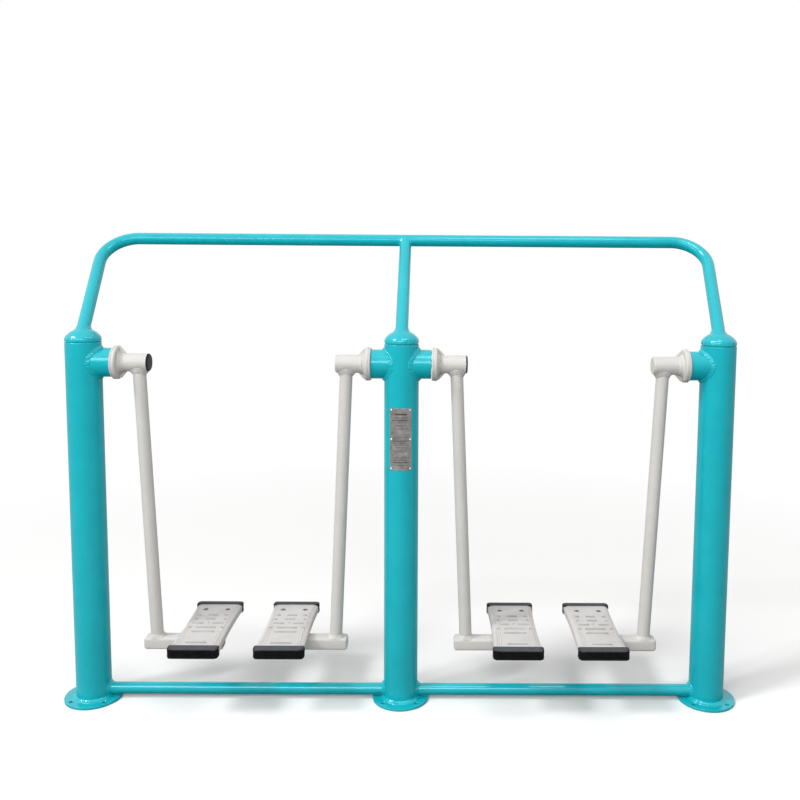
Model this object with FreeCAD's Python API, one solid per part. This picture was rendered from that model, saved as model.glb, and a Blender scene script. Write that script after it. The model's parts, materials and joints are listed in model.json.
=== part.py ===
"""Outdoor air walker for two people: three posts, one leaning handrail, four swinging pedals.

Units are millimetres. The origin is on the ground, on the axis of the centre post.
X runs along the machine, the handrail leans to +Y, and Z is up.
"""
import FreeCAD, Part
import math
import os

# Posts
POST_SPACING = 1045.0        # between post axes
POST_DIAMETER = 114.0
POST_WALL = 3.0
POST_ABOVE_HUB = 72.0        # from the hub axis to the seam under the dome
FLANGE_DIAMETER = 190.0
FLANGE_THICKNESS = 8.0
BOLT_CIRCLE = 158.0
BOLT_HOLE = 14.0
BOLT_COUNT = 4
DOME_SKIRT = 1.5
DOME_RISE = 33.0             # from the skirt to the crown
DOME_KNUCKLE = 20.0          # radius of the shoulder between the skirt and the crown
DOME_WALL = 4.0

# Rails
LOWER_RAIL_DIAMETER = 38.0
LOWER_RAIL_WALL = 2.5
LOWER_RAIL_GAP = 3.0         # between the flange top and the rail
RAIL_DIAMETER = 42.0
RAIL_WALL = 2.5
RAIL_RISE = 339.0            # from the post's seam to the axis of the top bar
RAIL_LEAN = 330.0            # offset of the top bar towards +Y
RAIL_SPLAY = 45.0            # outward offset of each bent corner from its post
RAIL_BEND_RADIUS = 112.0
LEG_TUCK = 30.0              # how far a leg's tube runs on below its foot before it is cut

# Axle and bearings; distances along the hub axis count from the post axis
HUB_HEIGHT = 1148.0
JOURNAL_DIAMETER = 25.0
AXLE_STEP = 2.5              # radial, at the shoulder and at the thread
AXLE_ROOT_DEPTH = 30.0       # how far a stub axle reaches inside the post surface
AXLE_COLLAR = 6.0            # axle shoulder in front of the boss
THREAD_OVERHANG = 2.0        # thread that shows past a nut
BEARING_OUTER = 52.0
BEARING_WIDTH = 15.0
BEARING_RING = 2.9           # radial thickness of a ring
BALL_COUNT = 9
SPACER_LENGTH = 53.0         # between the two bearings
WASHER_DIAMETER = 37.0
WASHER_THICKNESS = 3.0
NUT_ACROSS_FLATS = 30.0
NUT_HEIGHT = 16.0

# Swing limiter
STOP_PIN_DIAMETER = 12.0
STOP_PIN_MARGIN = 3.0        # metal on each side of the pin, in the boss end plate
STOP_PIN_REACH = 10.0        # pin length in front of the boss
SWING_ANGLE = 50.0           # each way, in degrees

# Bearing boss
BOSS_WALL = 6.0
BOSS_REACH = 98.0            # outer face of the boss
BOSS_END_PLATE = 12.0

# Hub
HUB_WALL = 4.0
HUB_FACE_GAP = 1.5           # between the boss and the hub
HUB_LENGTH = 112.5           # of the hub tube
HUB_SHOULDER = 3.0           # step inside the tube that the bearings seat on
HUB_FLANGE_OVERLAP = 7.0     # how far the hub flange stands out past the boss
HUB_FLANGE_WIDTH = 20.0
HUB_FLANGE_BEVEL = 4.0
HUB_CONE_LENGTH = 10.0
HUB_CONE_HEIGHT = 9.0
HUB_CONE_TIP = 1.0           # height of the cone's small end above the tube
GUSSET_THICKNESS = 7.0
GUSSET_LENGTH = 21.0
GUSSET_FLAT = 3.0            # length of the gusset's top
GUSSET_TIP = 2.0             # height of the gusset's low end above the tube
PLUG_DOME = 5.0
PLUG_RIM = 1.0               # flat rim around the dome
PLUG_LIP = 1.5
PLUG_SKIRT = 7.0
PLUG_WALL = 2.0

# Arm and pedal bracket
ARM_DIAMETER = 42.0
ARM_WALL = 3.0
ARM_TO_HUB_END = 31.0        # arm axis from the free end of the hub tube
ARM_INWARD_LEAN = 39.0       # how far the arm moves away from its post on the way down
BRACKET_TOP = 216.0
BRACKET_HEIGHT = 40.0
BRACKET_DEPTH = 50.0
BRACKET_WALL = 3.0
BRACKET_CORNER = 6.0
BRACKET_OVERHANG = 40.0      # past the arm axis, on the post side
BRACKET_END_INSET = 16.0     # from the far edge of the pedal

# Pedal
PEDAL_OFFSET = 385.0         # pedal centre from the post axis
PEDAL_FORWARD = 18.0         # pedal centre in front of the arm, towards the toes
FOOTPLATE_WIDTH = 159.0
FOOTPLATE_WAIST_DRAW = 5.0   # how far each side curves in at the middle
FOOTPLATE_LENGTH = 380.0
FOOTPLATE_HEIGHT = 28.0
FOOTPLATE_WALL = 4.0
FOOTPLATE_CORNER = 14.0
CARRIER_THICKNESS = 4.0
CARRIER_SIDE_GAP = 11.5      # inside the footplate's side walls
CARRIER_END_GAP = 4.0        # to the rubber caps
CAP_DEPTH = 25.0             # how far a rubber cap covers the footplate
CAP_WALL = 3.0
CAP_LIP = 3.0                # cap above and below the footplate
CAP_CORNER = 15.0
CAP_EDGE = 3.0

# Pedal screws
SCREW_SPACING = 78.0
TOE_SCREW_INSET = 67.0       # from the toe end of the footplate
HEEL_BOLT_INSET = 62.0       # from the heel end of the footplate
SCREW_DIAMETER = 8.0
SCREW_HEAD_DIAMETER = 15.0
SCREW_HEAD_HEIGHT = 2.8
SCREW_HEAD_DROP = 0.4        # head below the tread
SCREW_RECESS_MARGIN = 1.5    # around the head
SCREW_SOCKET = 5.0
SCREW_SOCKET_DEPTH = 2.0
SCREW_NUT_FLATS = 13.0
SCREW_NUT_HEIGHT = 6.5
SCREW_PAD_DIAMETER = 24.0

# Grip ribs on the footplate
RIB_HEIGHT = 2.4
RIB_WIDTH = 7.0
RIB_PITCH = 33.0
RIB_ROWS = (                 # place and length of each bar in a row, from the toe row down
    ((0.0, 34.0), (-46.0, 14.0), (46.0, 14.0)),
    ((0.0, 34.0), (-50.0, 10.0), (50.0, 10.0)),
    ((-34.0, 38.0), (34.0, 38.0)),
    ((0.0, 70.0), (-54.0, 12.0), (54.0, 12.0)),
    ((0.0, 76.0),),
)
RIB_TOE_MARGIN = 51.0        # from the toe screws to the first row
RIB_HEEL = 68.0              # rib in front of the heel cap
RIB_HEEL_INSET = 23.0        # from the heel cap
DASH_LENGTH = 9.0            # short bars along the borders
DASH_PITCH = 22.0
DASH_COUNT = 12
DASH_INSET = 16.5            # from the footplate's side

# Name plate
PLATE_WIDTH = 77.0           # along the curve
PLATE_HEIGHT = 206.0
PLATE_BELOW_HUB = 241.0      # plate centre below the hub axis
PLATE_THICKNESS = 1.0
RIVET_HEAD_DIAMETER = 7.0
RIVET_HEAD_HEIGHT = 1.8
RIVET_SHANK_DIAMETER = 3.2
RIVET_SHANK_LENGTH = 6.0
RIVET_EDGE_DISTANCE = 6.0

# Clearances
FIT = 0.05                   # radial, between nested round pieces
BALL_GAP = 0.3               # between the balls and the inner ring
STOP_GAP = 0.5               # around the stop pin in its slot
OVERSIZE = 1.0               # extra length of a cutting tool past a face

# How an edge is recognised before it is rounded
PARALLEL = 0.99              # smallest share of its direction that lies along an axis
LEVEL = 0.1                  # largest difference in height between its ends
SMALLEST_CORNER = 1.0        # radius left on an outline that is drawn inwards

# Worked out from the sizes above
POST_RADIUS = POST_DIAMETER / 2
POST_TOP = HUB_HEIGHT + POST_ABOVE_HUB
POSTS = {"left": -POST_SPACING, "centre": 0.0, "right": POST_SPACING}
DOME_TOP = POST_TOP + DOME_SKIRT + DOME_RISE
RAIL_HEIGHT = POST_TOP + RAIL_RISE
LOWER_RAIL_HEIGHT = FLANGE_THICKNESS + LOWER_RAIL_GAP + LOWER_RAIL_DIAMETER / 2
PLATE_CENTRE = HUB_HEIGHT - PLATE_BELOW_HUB
AXLE_SEAT_DIAMETER = JOURNAL_DIAMETER + 2 * AXLE_STEP
THREAD_DIAMETER = JOURNAL_DIAMETER - 2 * AXLE_STEP
HUB_DIAMETER = BEARING_OUTER + 2 * HUB_WALL
BOSS_DIAMETER = HUB_DIAMETER + 2 * (STOP_PIN_DIAMETER + 2 * STOP_PIN_MARGIN)
STOP_PIN_ORBIT = (HUB_DIAMETER + BOSS_DIAMETER) / 4
HUB_FLANGE_DIAMETER = BOSS_DIAMETER + 2 * HUB_FLANGE_OVERLAP
INNER_BEARING = BOSS_REACH + AXLE_COLLAR
OUTER_BEARING = INNER_BEARING + BEARING_WIDTH + SPACER_LENGTH
WASHER_START = OUTER_BEARING + BEARING_WIDTH
NUT_START = WASHER_START + WASHER_THICKNESS
AXLE_END = NUT_START + NUT_HEIGHT + THREAD_OVERHANG
HUB_START = BOSS_REACH + HUB_FACE_GAP
HUB_END = HUB_START + HUB_LENGTH
ARM_TOP = HUB_END - ARM_TO_HUB_END
ARM_BOTTOM = ARM_TOP + ARM_INWARD_LEAN
FOOTPLATE_WAIST = FOOTPLATE_WIDTH - 2 * FOOTPLATE_WAIST_DRAW
FOOTPLATE_BOTTOM = BRACKET_TOP + CARRIER_THICKNESS
FOOTPLATE_TOP = FOOTPLATE_BOTTOM + FOOTPLATE_HEIGHT
CARRIER_WIDTH = FOOTPLATE_WAIST - 2 * (FOOTPLATE_WALL + CARRIER_SIDE_GAP)
CARRIER_LENGTH = FOOTPLATE_LENGTH - 2 * (CAP_DEPTH + CARRIER_END_GAP)
TOE_SCREW_Y = FOOTPLATE_LENGTH / 2 - TOE_SCREW_INSET
HEEL_BOLT_Y = HEEL_BOLT_INSET - FOOTPLATE_LENGTH / 2
SCREW_HEAD_SEAT = FOOTPLATE_TOP - SCREW_HEAD_DROP - SCREW_HEAD_HEIGHT

# Each swing unit hangs on one side of a post: +1 where the hub points to +X
SWINGS = {1: ("left", 1), 2: ("centre", -1), 3: ("centre", 1), 4: ("right", -1)}

X_AXIS = FreeCAD.Vector(1, 0, 0)
Y_AXIS = FreeCAD.Vector(0, 1, 0)
Z_AXIS = FreeCAD.Vector(0, 0, 1)


def vec(x, y, z):
    return FreeCAD.Vector(x, y, z)


def rod(diameter, start, end):
    """Round bar between two points."""
    span = end - start
    return Part.makeCylinder(diameter / 2, span.Length, start, span)


def tube(diameter, wall, start, end):
    """Round tube between two points."""
    return rod(diameter, start, end).cut(rod(diameter - 2 * wall, start, end))


def hub_rod(diameter, start, end):
    """Round bar on the hub axis, between two distances from the post axis."""
    return rod(diameter, vec(start, 0, HUB_HEIGHT), vec(end, 0, HUB_HEIGHT))


def hub_ring(outer, inner, start, end):
    """Ring on the hub axis, between two distances from the post axis."""
    return hub_rod(outer, start, end).cut(hub_rod(inner, start - OVERSIZE, end + OVERSIZE))


def block(x_range, y_range, z_range):
    """Box between three pairs of limits."""
    size = [high - low for low, high in (x_range, y_range, z_range)]
    return Part.makeBox(*size, vec(x_range[0], y_range[0], z_range[0]))


def hexagon(across_flats, height, base):
    """Upright hexagonal prism with its base centre at a point."""
    radius = across_flats / math.sqrt(3)
    corners = []
    for index in range(7):
        angle = math.radians(60 * index)
        corners.append(base + vec(radius * math.cos(angle), radius * math.sin(angle), 0))
    return Part.Face(Part.makePolygon(corners)).extrude(vec(0, 0, height))


def lathe(points, axis_point, axis):
    """Solid turned from a closed outline."""
    return Part.Face(Part.makePolygon(points + points[:1])).revolve(axis_point, axis, 360)


def placed(shape, post, side):
    """Copy of a piece made for the +X side of a post at the origin."""
    turned = shape if side > 0 else shape.mirror(vec(0, 0, 0), X_AXIS)
    return turned.translated(vec(POSTS[post], 0, 0))


def dome_crown_radius():
    """Radius of the crown that meets the knuckle smoothly at the wanted rise."""
    reach = POST_RADIUS - DOME_KNUCKLE
    drop = DOME_RISE - DOME_KNUCKLE
    return DOME_KNUCKLE + (reach ** 2 + drop ** 2) / (2 * drop)


def rail_corner(side):
    """Point where the axes of an outer leg and the top bar meet."""
    return vec(side * (POST_SPACING + RAIL_SPLAY), RAIL_LEAN, RAIL_HEIGHT)


def leg_foot(x):
    """Point inside a dome where a handrail leg starts."""
    return vec(x, 0, DOME_TOP - DOME_WALL)


def leg_end(foot, upper):
    """Lower end of a leg's tube, deep enough for the whole end to be inside the dome."""
    return foot + (foot - upper).normalize() * LEG_TUCK


def handrail_path():
    """Axis of the bent handrail tube: leg, corner bend, top bar, corner bend, leg."""
    left, right = rail_corner(-1), rail_corner(1)
    left_end = leg_end(leg_foot(-POST_SPACING), left)
    right_end = leg_end(leg_foot(POST_SPACING), right)
    points = [left_end, left, right, right_end]
    edges = []
    start = points[0]
    for before, corner, after in zip(points, points[1:], points[2:]):
        into = (corner - before).normalize()
        out = (after - corner).normalize()
        turn = into.getAngle(out)
        setback = RAIL_BEND_RADIUS * math.tan(turn / 2)
        bend_start = corner - into * setback
        bend_end = corner + out * setback
        to_centre = (out - into).normalize()
        centre = corner + to_centre * (RAIL_BEND_RADIUS / math.cos(turn / 2))
        bend_middle = centre - to_centre * RAIL_BEND_RADIUS
        edges.append(Part.LineSegment(start, bend_start).toShape())
        edges.append(Part.Arc(bend_start, bend_middle, bend_end).toShape())
        start = bend_end
    edges.append(Part.LineSegment(start, points[-1]).toShape())
    return Part.Wire(edges)


def sweep(path, diameter):
    """Round bar that follows a path."""
    start = path.Edges[0].Vertexes[0].Point
    direction = path.Edges[0].tangentAt(path.Edges[0].FirstParameter)
    ring = Part.Wire(Part.makeCircle(diameter / 2, start, direction))
    return path.makePipeShell([ring], True, False)


def dome_body(x, inset=0.0):
    """Round cap: a straight skirt, a knuckle and a flatter crown."""
    radius = POST_RADIUS - inset
    knuckle = DOME_KNUCKLE - inset
    skirt_top = POST_TOP + DOME_SKIRT
    crown = dome_crown_radius() - inset
    crown_centre = skirt_top + DOME_RISE - dome_crown_radius()
    reach = POST_RADIUS - DOME_KNUCKLE
    lean = math.asin(reach / (crown + inset - DOME_KNUCKLE))
    joint = vec(crown * math.sin(lean), 0, crown_centre + crown * math.cos(lean))
    half_turn = (math.pi / 2 - lean) / 2
    knuckle_middle = vec(reach + knuckle * math.cos(half_turn), 0,
                         skirt_top + knuckle * math.sin(half_turn))
    crown_middle = vec(crown * math.sin(lean / 2), 0, crown_centre + crown * math.cos(lean / 2))
    top = vec(0, 0, crown_centre + crown)
    edges = [
        Part.LineSegment(vec(0, 0, POST_TOP), vec(radius, 0, POST_TOP)).toShape(),
        Part.LineSegment(vec(radius, 0, POST_TOP), vec(radius, 0, skirt_top)).toShape(),
        Part.Arc(vec(radius, 0, skirt_top), knuckle_middle, joint).toShape(),
        Part.Arc(joint, crown_middle, top).toShape(),
        Part.LineSegment(top, vec(0, 0, POST_TOP)).toShape(),
    ]
    solid = Part.Face(Part.Wire(edges)).revolve(vec(0, 0, 0), Z_AXIS, 360)
    return solid.translated(vec(x, 0, 0))


def make_dome(x):
    return dome_body(x).cut(dome_body(x, DOME_WALL))


def below_dome(x):
    """Top of a post's inside, as a solid."""
    return rod(POST_DIAMETER, vec(x, 0, POST_TOP - LEG_TUCK), vec(x, 0, POST_TOP))


def make_handrail():
    path = handrail_path()
    rail = sweep(path, RAIL_DIAMETER).cut(sweep(path, RAIL_DIAMETER - 2 * RAIL_WALL))
    for x in (-POST_SPACING, POST_SPACING):
        rail = rail.cut(below_dome(x)).cut(dome_body(x))
    return rail


def make_centre_leg():
    top = vec(0, RAIL_LEAN, RAIL_HEIGHT)
    leg = tube(RAIL_DIAMETER, RAIL_WALL, leg_end(leg_foot(0), top), top)
    bar = rod(RAIL_DIAMETER, top - X_AXIS * RAIL_DIAMETER, top + X_AXIS * RAIL_DIAMETER)
    return leg.cut(bar).cut(below_dome(0)).cut(dome_body(0))


def rivet_places():
    """Angle round the post and height of each name plate rivet."""
    half_turn = math.degrees((PLATE_WIDTH / 2 - RIVET_EDGE_DISTANCE) / POST_RADIUS)
    half_height = PLATE_HEIGHT / 2 - RIVET_EDGE_DISTANCE
    return [(turn, PLATE_CENTRE + rise)
            for turn in (-half_turn, half_turn)
            for rise in (-half_height, 0.0, half_height)]


def rivet_direction(turn):
    """Outward direction of a rivet; zero faces the front, -Y."""
    return vec(math.sin(math.radians(turn)), -math.cos(math.radians(turn)), 0)


def rivet_holes():
    inner = POST_RADIUS - RIVET_SHANK_LENGTH - OVERSIZE
    outer = POST_RADIUS + PLATE_THICKNESS + OVERSIZE
    holes = []
    for turn, height in rivet_places():
        out = rivet_direction(turn)
        centre = vec(0, 0, height)
        holes.append(rod(RIVET_SHANK_DIAMETER + 2 * FIT, centre + out * inner, centre + out * outer))
    return Part.makeCompound(holes)


def make_rivets():
    seat = POST_RADIUS + FIT + PLATE_THICKNESS
    rivets = []
    for turn, height in rivet_places():
        out = rivet_direction(turn)
        centre = vec(0, 0, height)
        radius = RIVET_HEAD_DIAMETER / 2
        ball = (radius ** 2 + RIVET_HEAD_HEIGHT ** 2) / (2 * RIVET_HEAD_HEIGHT)
        head = Part.makeSphere(ball, centre + out * (seat + RIVET_HEAD_HEIGHT - ball))
        keep = rod(RIVET_HEAD_DIAMETER, centre + out * seat, centre + out * (seat + radius))
        shank_end = centre + out * (POST_RADIUS + PLATE_THICKNESS - RIVET_SHANK_LENGTH)
        shank = rod(RIVET_SHANK_DIAMETER, shank_end, centre + out * (seat + RIVET_HEAD_HEIGHT / 2))
        rivets.append(head.common(keep).fuse(shank).removeSplitter())
    return Part.makeCompound(rivets)


def make_name_plate():
    inner = POST_RADIUS + FIT
    low = PLATE_CENTRE - PLATE_HEIGHT / 2
    span = math.degrees(PLATE_WIDTH / POST_RADIUS)
    outer_part = Part.makeCylinder(inner + PLATE_THICKNESS, PLATE_HEIGHT, vec(0, 0, low), Z_AXIS, span)
    inner_part = Part.makeCylinder(inner, PLATE_HEIGHT, vec(0, 0, low), Z_AXIS, span)
    plate = outer_part.cut(inner_part)
    plate.rotate(vec(0, 0, 0), Z_AXIS, -90 - span / 2)
    return plate.cut(rivet_holes())


def post_sides(post):
    """Sides of a post that carry a hub."""
    return [side for place, side in SWINGS.values() if place == post]


def make_post(post):
    x = POSTS[post]
    shape = tube(POST_DIAMETER, POST_WALL, vec(x, 0, FLANGE_THICKNESS), vec(x, 0, POST_TOP))
    for side in post_sides(post):
        start = vec(x, 0, HUB_HEIGHT)
        end = vec(x + side * (POST_RADIUS + OVERSIZE), 0, HUB_HEIGHT)
        shape = shape.cut(rod(AXLE_SEAT_DIAMETER + 2 * FIT, start, end))
    if post == "centre":
        shape = shape.cut(rivet_holes())
    return shape


def make_base_flange(x):
    shape = rod(FLANGE_DIAMETER, vec(x, 0, 0), vec(x, 0, FLANGE_THICKNESS))
    for index in range(BOLT_COUNT):
        angle = math.radians(360 / BOLT_COUNT * (index + 0.5))
        hole = vec(x + BOLT_CIRCLE / 2 * math.cos(angle), BOLT_CIRCLE / 2 * math.sin(angle), -OVERSIZE)
        shape = shape.cut(Part.makeCylinder(BOLT_HOLE / 2, FLANGE_THICKNESS + 2 * OVERSIZE, hole))
    return shape


def make_lower_rail(start_x, end_x):
    start = vec(start_x, 0, LOWER_RAIL_HEIGHT)
    end = vec(end_x, 0, LOWER_RAIL_HEIGHT)
    rail = tube(LOWER_RAIL_DIAMETER, LOWER_RAIL_WALL, start, end)
    for x in (start_x, end_x):
        rail = rail.cut(rod(POST_DIAMETER, vec(x, 0, 0), vec(x, 0, POST_TOP)))
    return rail


def stop_pin_centre(distance):
    return vec(distance, 0, HUB_HEIGHT + STOP_PIN_ORBIT)


def make_boss():
    """Boss welded to the post: a short tube with a thick end plate that holds the axle."""
    shape = hub_rod(BOSS_DIAMETER, 0, BOSS_REACH)
    hollow_end = BOSS_REACH - BOSS_END_PLATE
    shape = shape.cut(hub_rod(BOSS_DIAMETER - 2 * BOSS_WALL, 0, hollow_end))
    shape = shape.cut(hub_rod(AXLE_SEAT_DIAMETER + 2 * FIT, 0, BOSS_REACH + OVERSIZE))
    shape = shape.cut(rod(POST_DIAMETER, vec(0, 0, 0), vec(0, 0, POST_TOP)))
    pin_start = stop_pin_centre(hollow_end)
    pin_end = stop_pin_centre(BOSS_REACH + OVERSIZE)
    return shape.cut(rod(STOP_PIN_DIAMETER + 2 * FIT, pin_start, pin_end))


def axle_front():
    """Axle from inside the post to its threaded end."""
    root = POST_RADIUS - AXLE_ROOT_DEPTH
    shape = hub_rod(AXLE_SEAT_DIAMETER, root, INNER_BEARING)
    shape = shape.fuse(hub_rod(JOURNAL_DIAMETER, INNER_BEARING, WASHER_START))
    return shape.fuse(hub_rod(THREAD_DIAMETER, WASHER_START, AXLE_END)).removeSplitter()


def make_centre_axle():
    """One axle that passes through the centre post and carries two hubs."""
    root = POST_RADIUS - AXLE_ROOT_DEPTH
    halves = axle_front().fuse(axle_front().mirror(vec(0, 0, 0), X_AXIS))
    return halves.fuse(hub_rod(AXLE_SEAT_DIAMETER, -root, root)).removeSplitter()


def axle_hardware():
    """Inner rings, spacer, washer, nut and stop pin of one hub."""
    bore = JOURNAL_DIAMETER + 2 * FIT
    ring = bore + 2 * BEARING_RING
    solids = [hub_ring(ring, bore, start, start + BEARING_WIDTH)
              for start in (INNER_BEARING, OUTER_BEARING)]
    solids.append(hub_ring(ring, bore, INNER_BEARING + BEARING_WIDTH, OUTER_BEARING))
    thread_bore = THREAD_DIAMETER + 2 * FIT
    solids.append(hub_ring(WASHER_DIAMETER, thread_bore, WASHER_START, NUT_START))
    nut = hexagon(NUT_ACROSS_FLATS, NUT_HEIGHT, vec(0, 0, 0))
    nut.rotate(vec(0, 0, 0), Y_AXIS, 90)
    nut.translate(vec(NUT_START, 0, HUB_HEIGHT))
    solids.append(nut.cut(hub_rod(thread_bore, NUT_START - OVERSIZE, AXLE_END)))
    pin_start = stop_pin_centre(BOSS_REACH - BOSS_END_PLATE)
    solids.append(rod(STOP_PIN_DIAMETER, pin_start, stop_pin_centre(BOSS_REACH + STOP_PIN_REACH)))
    return solids


def make_bearing_rings():
    """Outer rings and balls of one hub's two bearings."""
    solids = []
    inner_ring_radius = JOURNAL_DIAMETER / 2 + FIT + BEARING_RING
    outer_ring_bore = BEARING_OUTER - 2 * BEARING_RING
    ball_radius = (outer_ring_bore / 2 - FIT - inner_ring_radius - BALL_GAP) / 2
    orbit = outer_ring_bore / 2 - FIT - ball_radius
    for start in (INNER_BEARING, OUTER_BEARING):
        solids.append(hub_ring(BEARING_OUTER, outer_ring_bore, start, start + BEARING_WIDTH))
        for index in range(BALL_COUNT):
            angle = math.radians(360 / BALL_COUNT * index)
            y = orbit * math.cos(angle)
            z = HUB_HEIGHT + orbit * math.sin(angle)
            solids.append(Part.makeSphere(ball_radius, vec(start + BEARING_WIDTH / 2, y, z)))
    return Part.makeCompound(solids)


def make_hub_tube():
    seat = BEARING_OUTER + 2 * FIT
    tube_shape = hub_rod(HUB_DIAMETER, HUB_START, HUB_END)
    inner_seat_end = INNER_BEARING + BEARING_WIDTH
    tube_shape = tube_shape.cut(hub_rod(seat, HUB_START - OVERSIZE, inner_seat_end))
    tube_shape = tube_shape.cut(hub_rod(seat, OUTER_BEARING, HUB_END + OVERSIZE))
    return tube_shape.cut(hub_rod(seat - 2 * HUB_SHOULDER, inner_seat_end, OUTER_BEARING))


def stop_slot():
    """Arc slot that lets the stop pin travel through the swing angle each way."""
    start = HUB_START - OVERSIZE
    half_width = STOP_PIN_DIAMETER / 2 + STOP_GAP
    outer = STOP_PIN_ORBIT + half_width
    inner = STOP_PIN_ORBIT - half_width

    def around(radius, side):
        angle = math.radians(side * SWING_ANGLE)
        return vec(start, radius * math.sin(angle), HUB_HEIGHT + radius * math.cos(angle))

    def round_end(side):
        angle = math.radians(side * SWING_ANGLE)
        onward = vec(0, side * math.cos(angle), -side * math.sin(angle))
        return around(STOP_PIN_ORBIT, side) + onward * half_width

    edges = [
        Part.Arc(around(outer, -1), around(outer, 0), around(outer, 1)).toShape(),
        Part.Arc(around(outer, 1), round_end(1), around(inner, 1)).toShape(),
        Part.Arc(around(inner, 1), around(inner, 0), around(inner, -1)).toShape(),
        Part.Arc(around(inner, -1), round_end(-1), around(outer, -1)).toShape(),
    ]
    depth = OVERSIZE + STOP_PIN_REACH + STOP_GAP
    return Part.Face(Part.Wire(edges)).extrude(X_AXIS * depth)


def make_hub_flange():
    """Thick ring at the root of the hub, with a conical back and two gussets."""
    bore = HUB_DIAMETER / 2 + FIT
    rim = HUB_FLANGE_DIAMETER / 2
    back = HUB_START + HUB_FLANGE_WIDTH
    cone_end = back + HUB_CONE_LENGTH
    outline = [
        (HUB_START, bore),
        (HUB_START, rim - HUB_FLANGE_BEVEL / 2),
        (HUB_START + HUB_FLANGE_BEVEL / 2, rim),
        (back - HUB_FLANGE_BEVEL, rim),
        (back, rim - HUB_FLANGE_BEVEL),
        (back, bore + HUB_CONE_HEIGHT),
        (cone_end, bore + HUB_CONE_TIP),
        (cone_end, bore),
    ]
    points = [vec(x, 0, HUB_HEIGHT + z) for x, z in outline]
    shape = lathe(points, vec(0, 0, HUB_HEIGHT), X_AXIS)
    gusset_top = rim - HUB_FLANGE_BEVEL
    root = bore - GUSSET_TIP
    web = [
        (back - OVERSIZE, root),
        (back - OVERSIZE, gusset_top),
        (back + GUSSET_FLAT, gusset_top),
        (back + GUSSET_LENGTH, bore + GUSSET_TIP),
        (back + GUSSET_LENGTH, root),
    ]
    for sign in (1, -1):
        corners = [vec(x, -GUSSET_THICKNESS / 2, HUB_HEIGHT + sign * z) for x, z in web]
        gusset = Part.Face(Part.makePolygon(corners + corners[:1])).extrude(Y_AXIS * GUSSET_THICKNESS)
        shape = shape.fuse(gusset)
    shape = shape.cut(hub_rod(2 * bore, HUB_START - OVERSIZE, HUB_END))
    return shape.cut(stop_slot())


def make_hub_plug():
    """Domed plug in the free end of the hub tube."""
    rim = HUB_DIAMETER / 2
    skirt = BEARING_OUTER / 2
    ball = ((rim - PLUG_RIM) ** 2 + PLUG_DOME ** 2) / (2 * PLUG_DOME)
    disc = hub_rod(HUB_DIAMETER, HUB_END, HUB_END + PLUG_LIP)
    crown = Part.makeSphere(ball, vec(HUB_END + PLUG_LIP + PLUG_DOME - ball, 0, HUB_HEIGHT))
    crown = crown.common(hub_rod(HUB_DIAMETER, HUB_END + PLUG_LIP, HUB_END + PLUG_LIP + PLUG_DOME))
    wall = hub_ring(2 * skirt, 2 * (skirt - PLUG_WALL), HUB_END - PLUG_SKIRT, HUB_END)
    return disc.fuse(crown).fuse(wall).removeSplitter()


def arm_axis():
    return vec(ARM_TOP, 0, HUB_HEIGHT), vec(ARM_BOTTOM, 0, BRACKET_TOP)


def make_arm():
    top, bottom = arm_axis()
    below = bottom + (bottom - top).normalize() * ARM_DIAMETER
    arm = tube(ARM_DIAMETER, ARM_WALL, top, below)
    arm = arm.cut(hub_rod(HUB_DIAMETER, HUB_START, HUB_END + ARM_DIAMETER))
    reach = 2 * ARM_DIAMETER
    floor = block((ARM_BOTTOM - reach, ARM_BOTTOM + reach), (-reach, reach),
                  (BRACKET_TOP - reach, BRACKET_TOP))
    return arm.cut(floor)


def bracket_limits():
    far_edge = PEDAL_OFFSET + FOOTPLATE_WAIST / 2
    return ARM_BOTTOM - BRACKET_OVERHANG, far_edge - BRACKET_END_INSET


def make_bracket():
    """Rectangular tube under the pedal, closed at the post end."""
    start, end = bracket_limits()
    half = BRACKET_DEPTH / 2
    bottom = BRACKET_TOP - BRACKET_HEIGHT
    shape = block((start, end), (-half, half), (bottom, BRACKET_TOP))
    long_edges = [edge for edge in shape.Edges if abs(edge.tangentAt(0).x) > PARALLEL]
    shape = shape.makeFillet(BRACKET_CORNER, long_edges)
    inner = BRACKET_WALL
    hollow = block((start + inner, end + OVERSIZE), (inner - half, half - inner),
                   (bottom + inner, BRACKET_TOP - inner))
    long_edges = [edge for edge in hollow.Edges if abs(edge.tangentAt(0).x) > PARALLEL]
    return shape.cut(hollow.makeFillet(BRACKET_CORNER - inner, long_edges))


def screw_places(y):
    return [(PEDAL_OFFSET + sign * SCREW_SPACING / 2, PEDAL_FORWARD + y) for sign in (-1, 1)]


def make_carrier():
    """Steel plate between the bracket and the footplate."""
    half_width = CARRIER_WIDTH / 2
    half_length = CARRIER_LENGTH / 2
    shape = block((PEDAL_OFFSET - half_width, PEDAL_OFFSET + half_width),
                  (PEDAL_FORWARD - half_length, PEDAL_FORWARD + half_length),
                  (BRACKET_TOP, FOOTPLATE_BOTTOM))
    for x, y in screw_places(TOE_SCREW_Y) + screw_places(HEEL_BOLT_Y):
        hole = vec(x, y, BRACKET_TOP - OVERSIZE)
        tool = Part.makeCylinder(SCREW_DIAMETER / 2 + FIT, CARRIER_THICKNESS + 2 * OVERSIZE, hole)
        shape = shape.cut(tool)
    return shape


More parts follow.
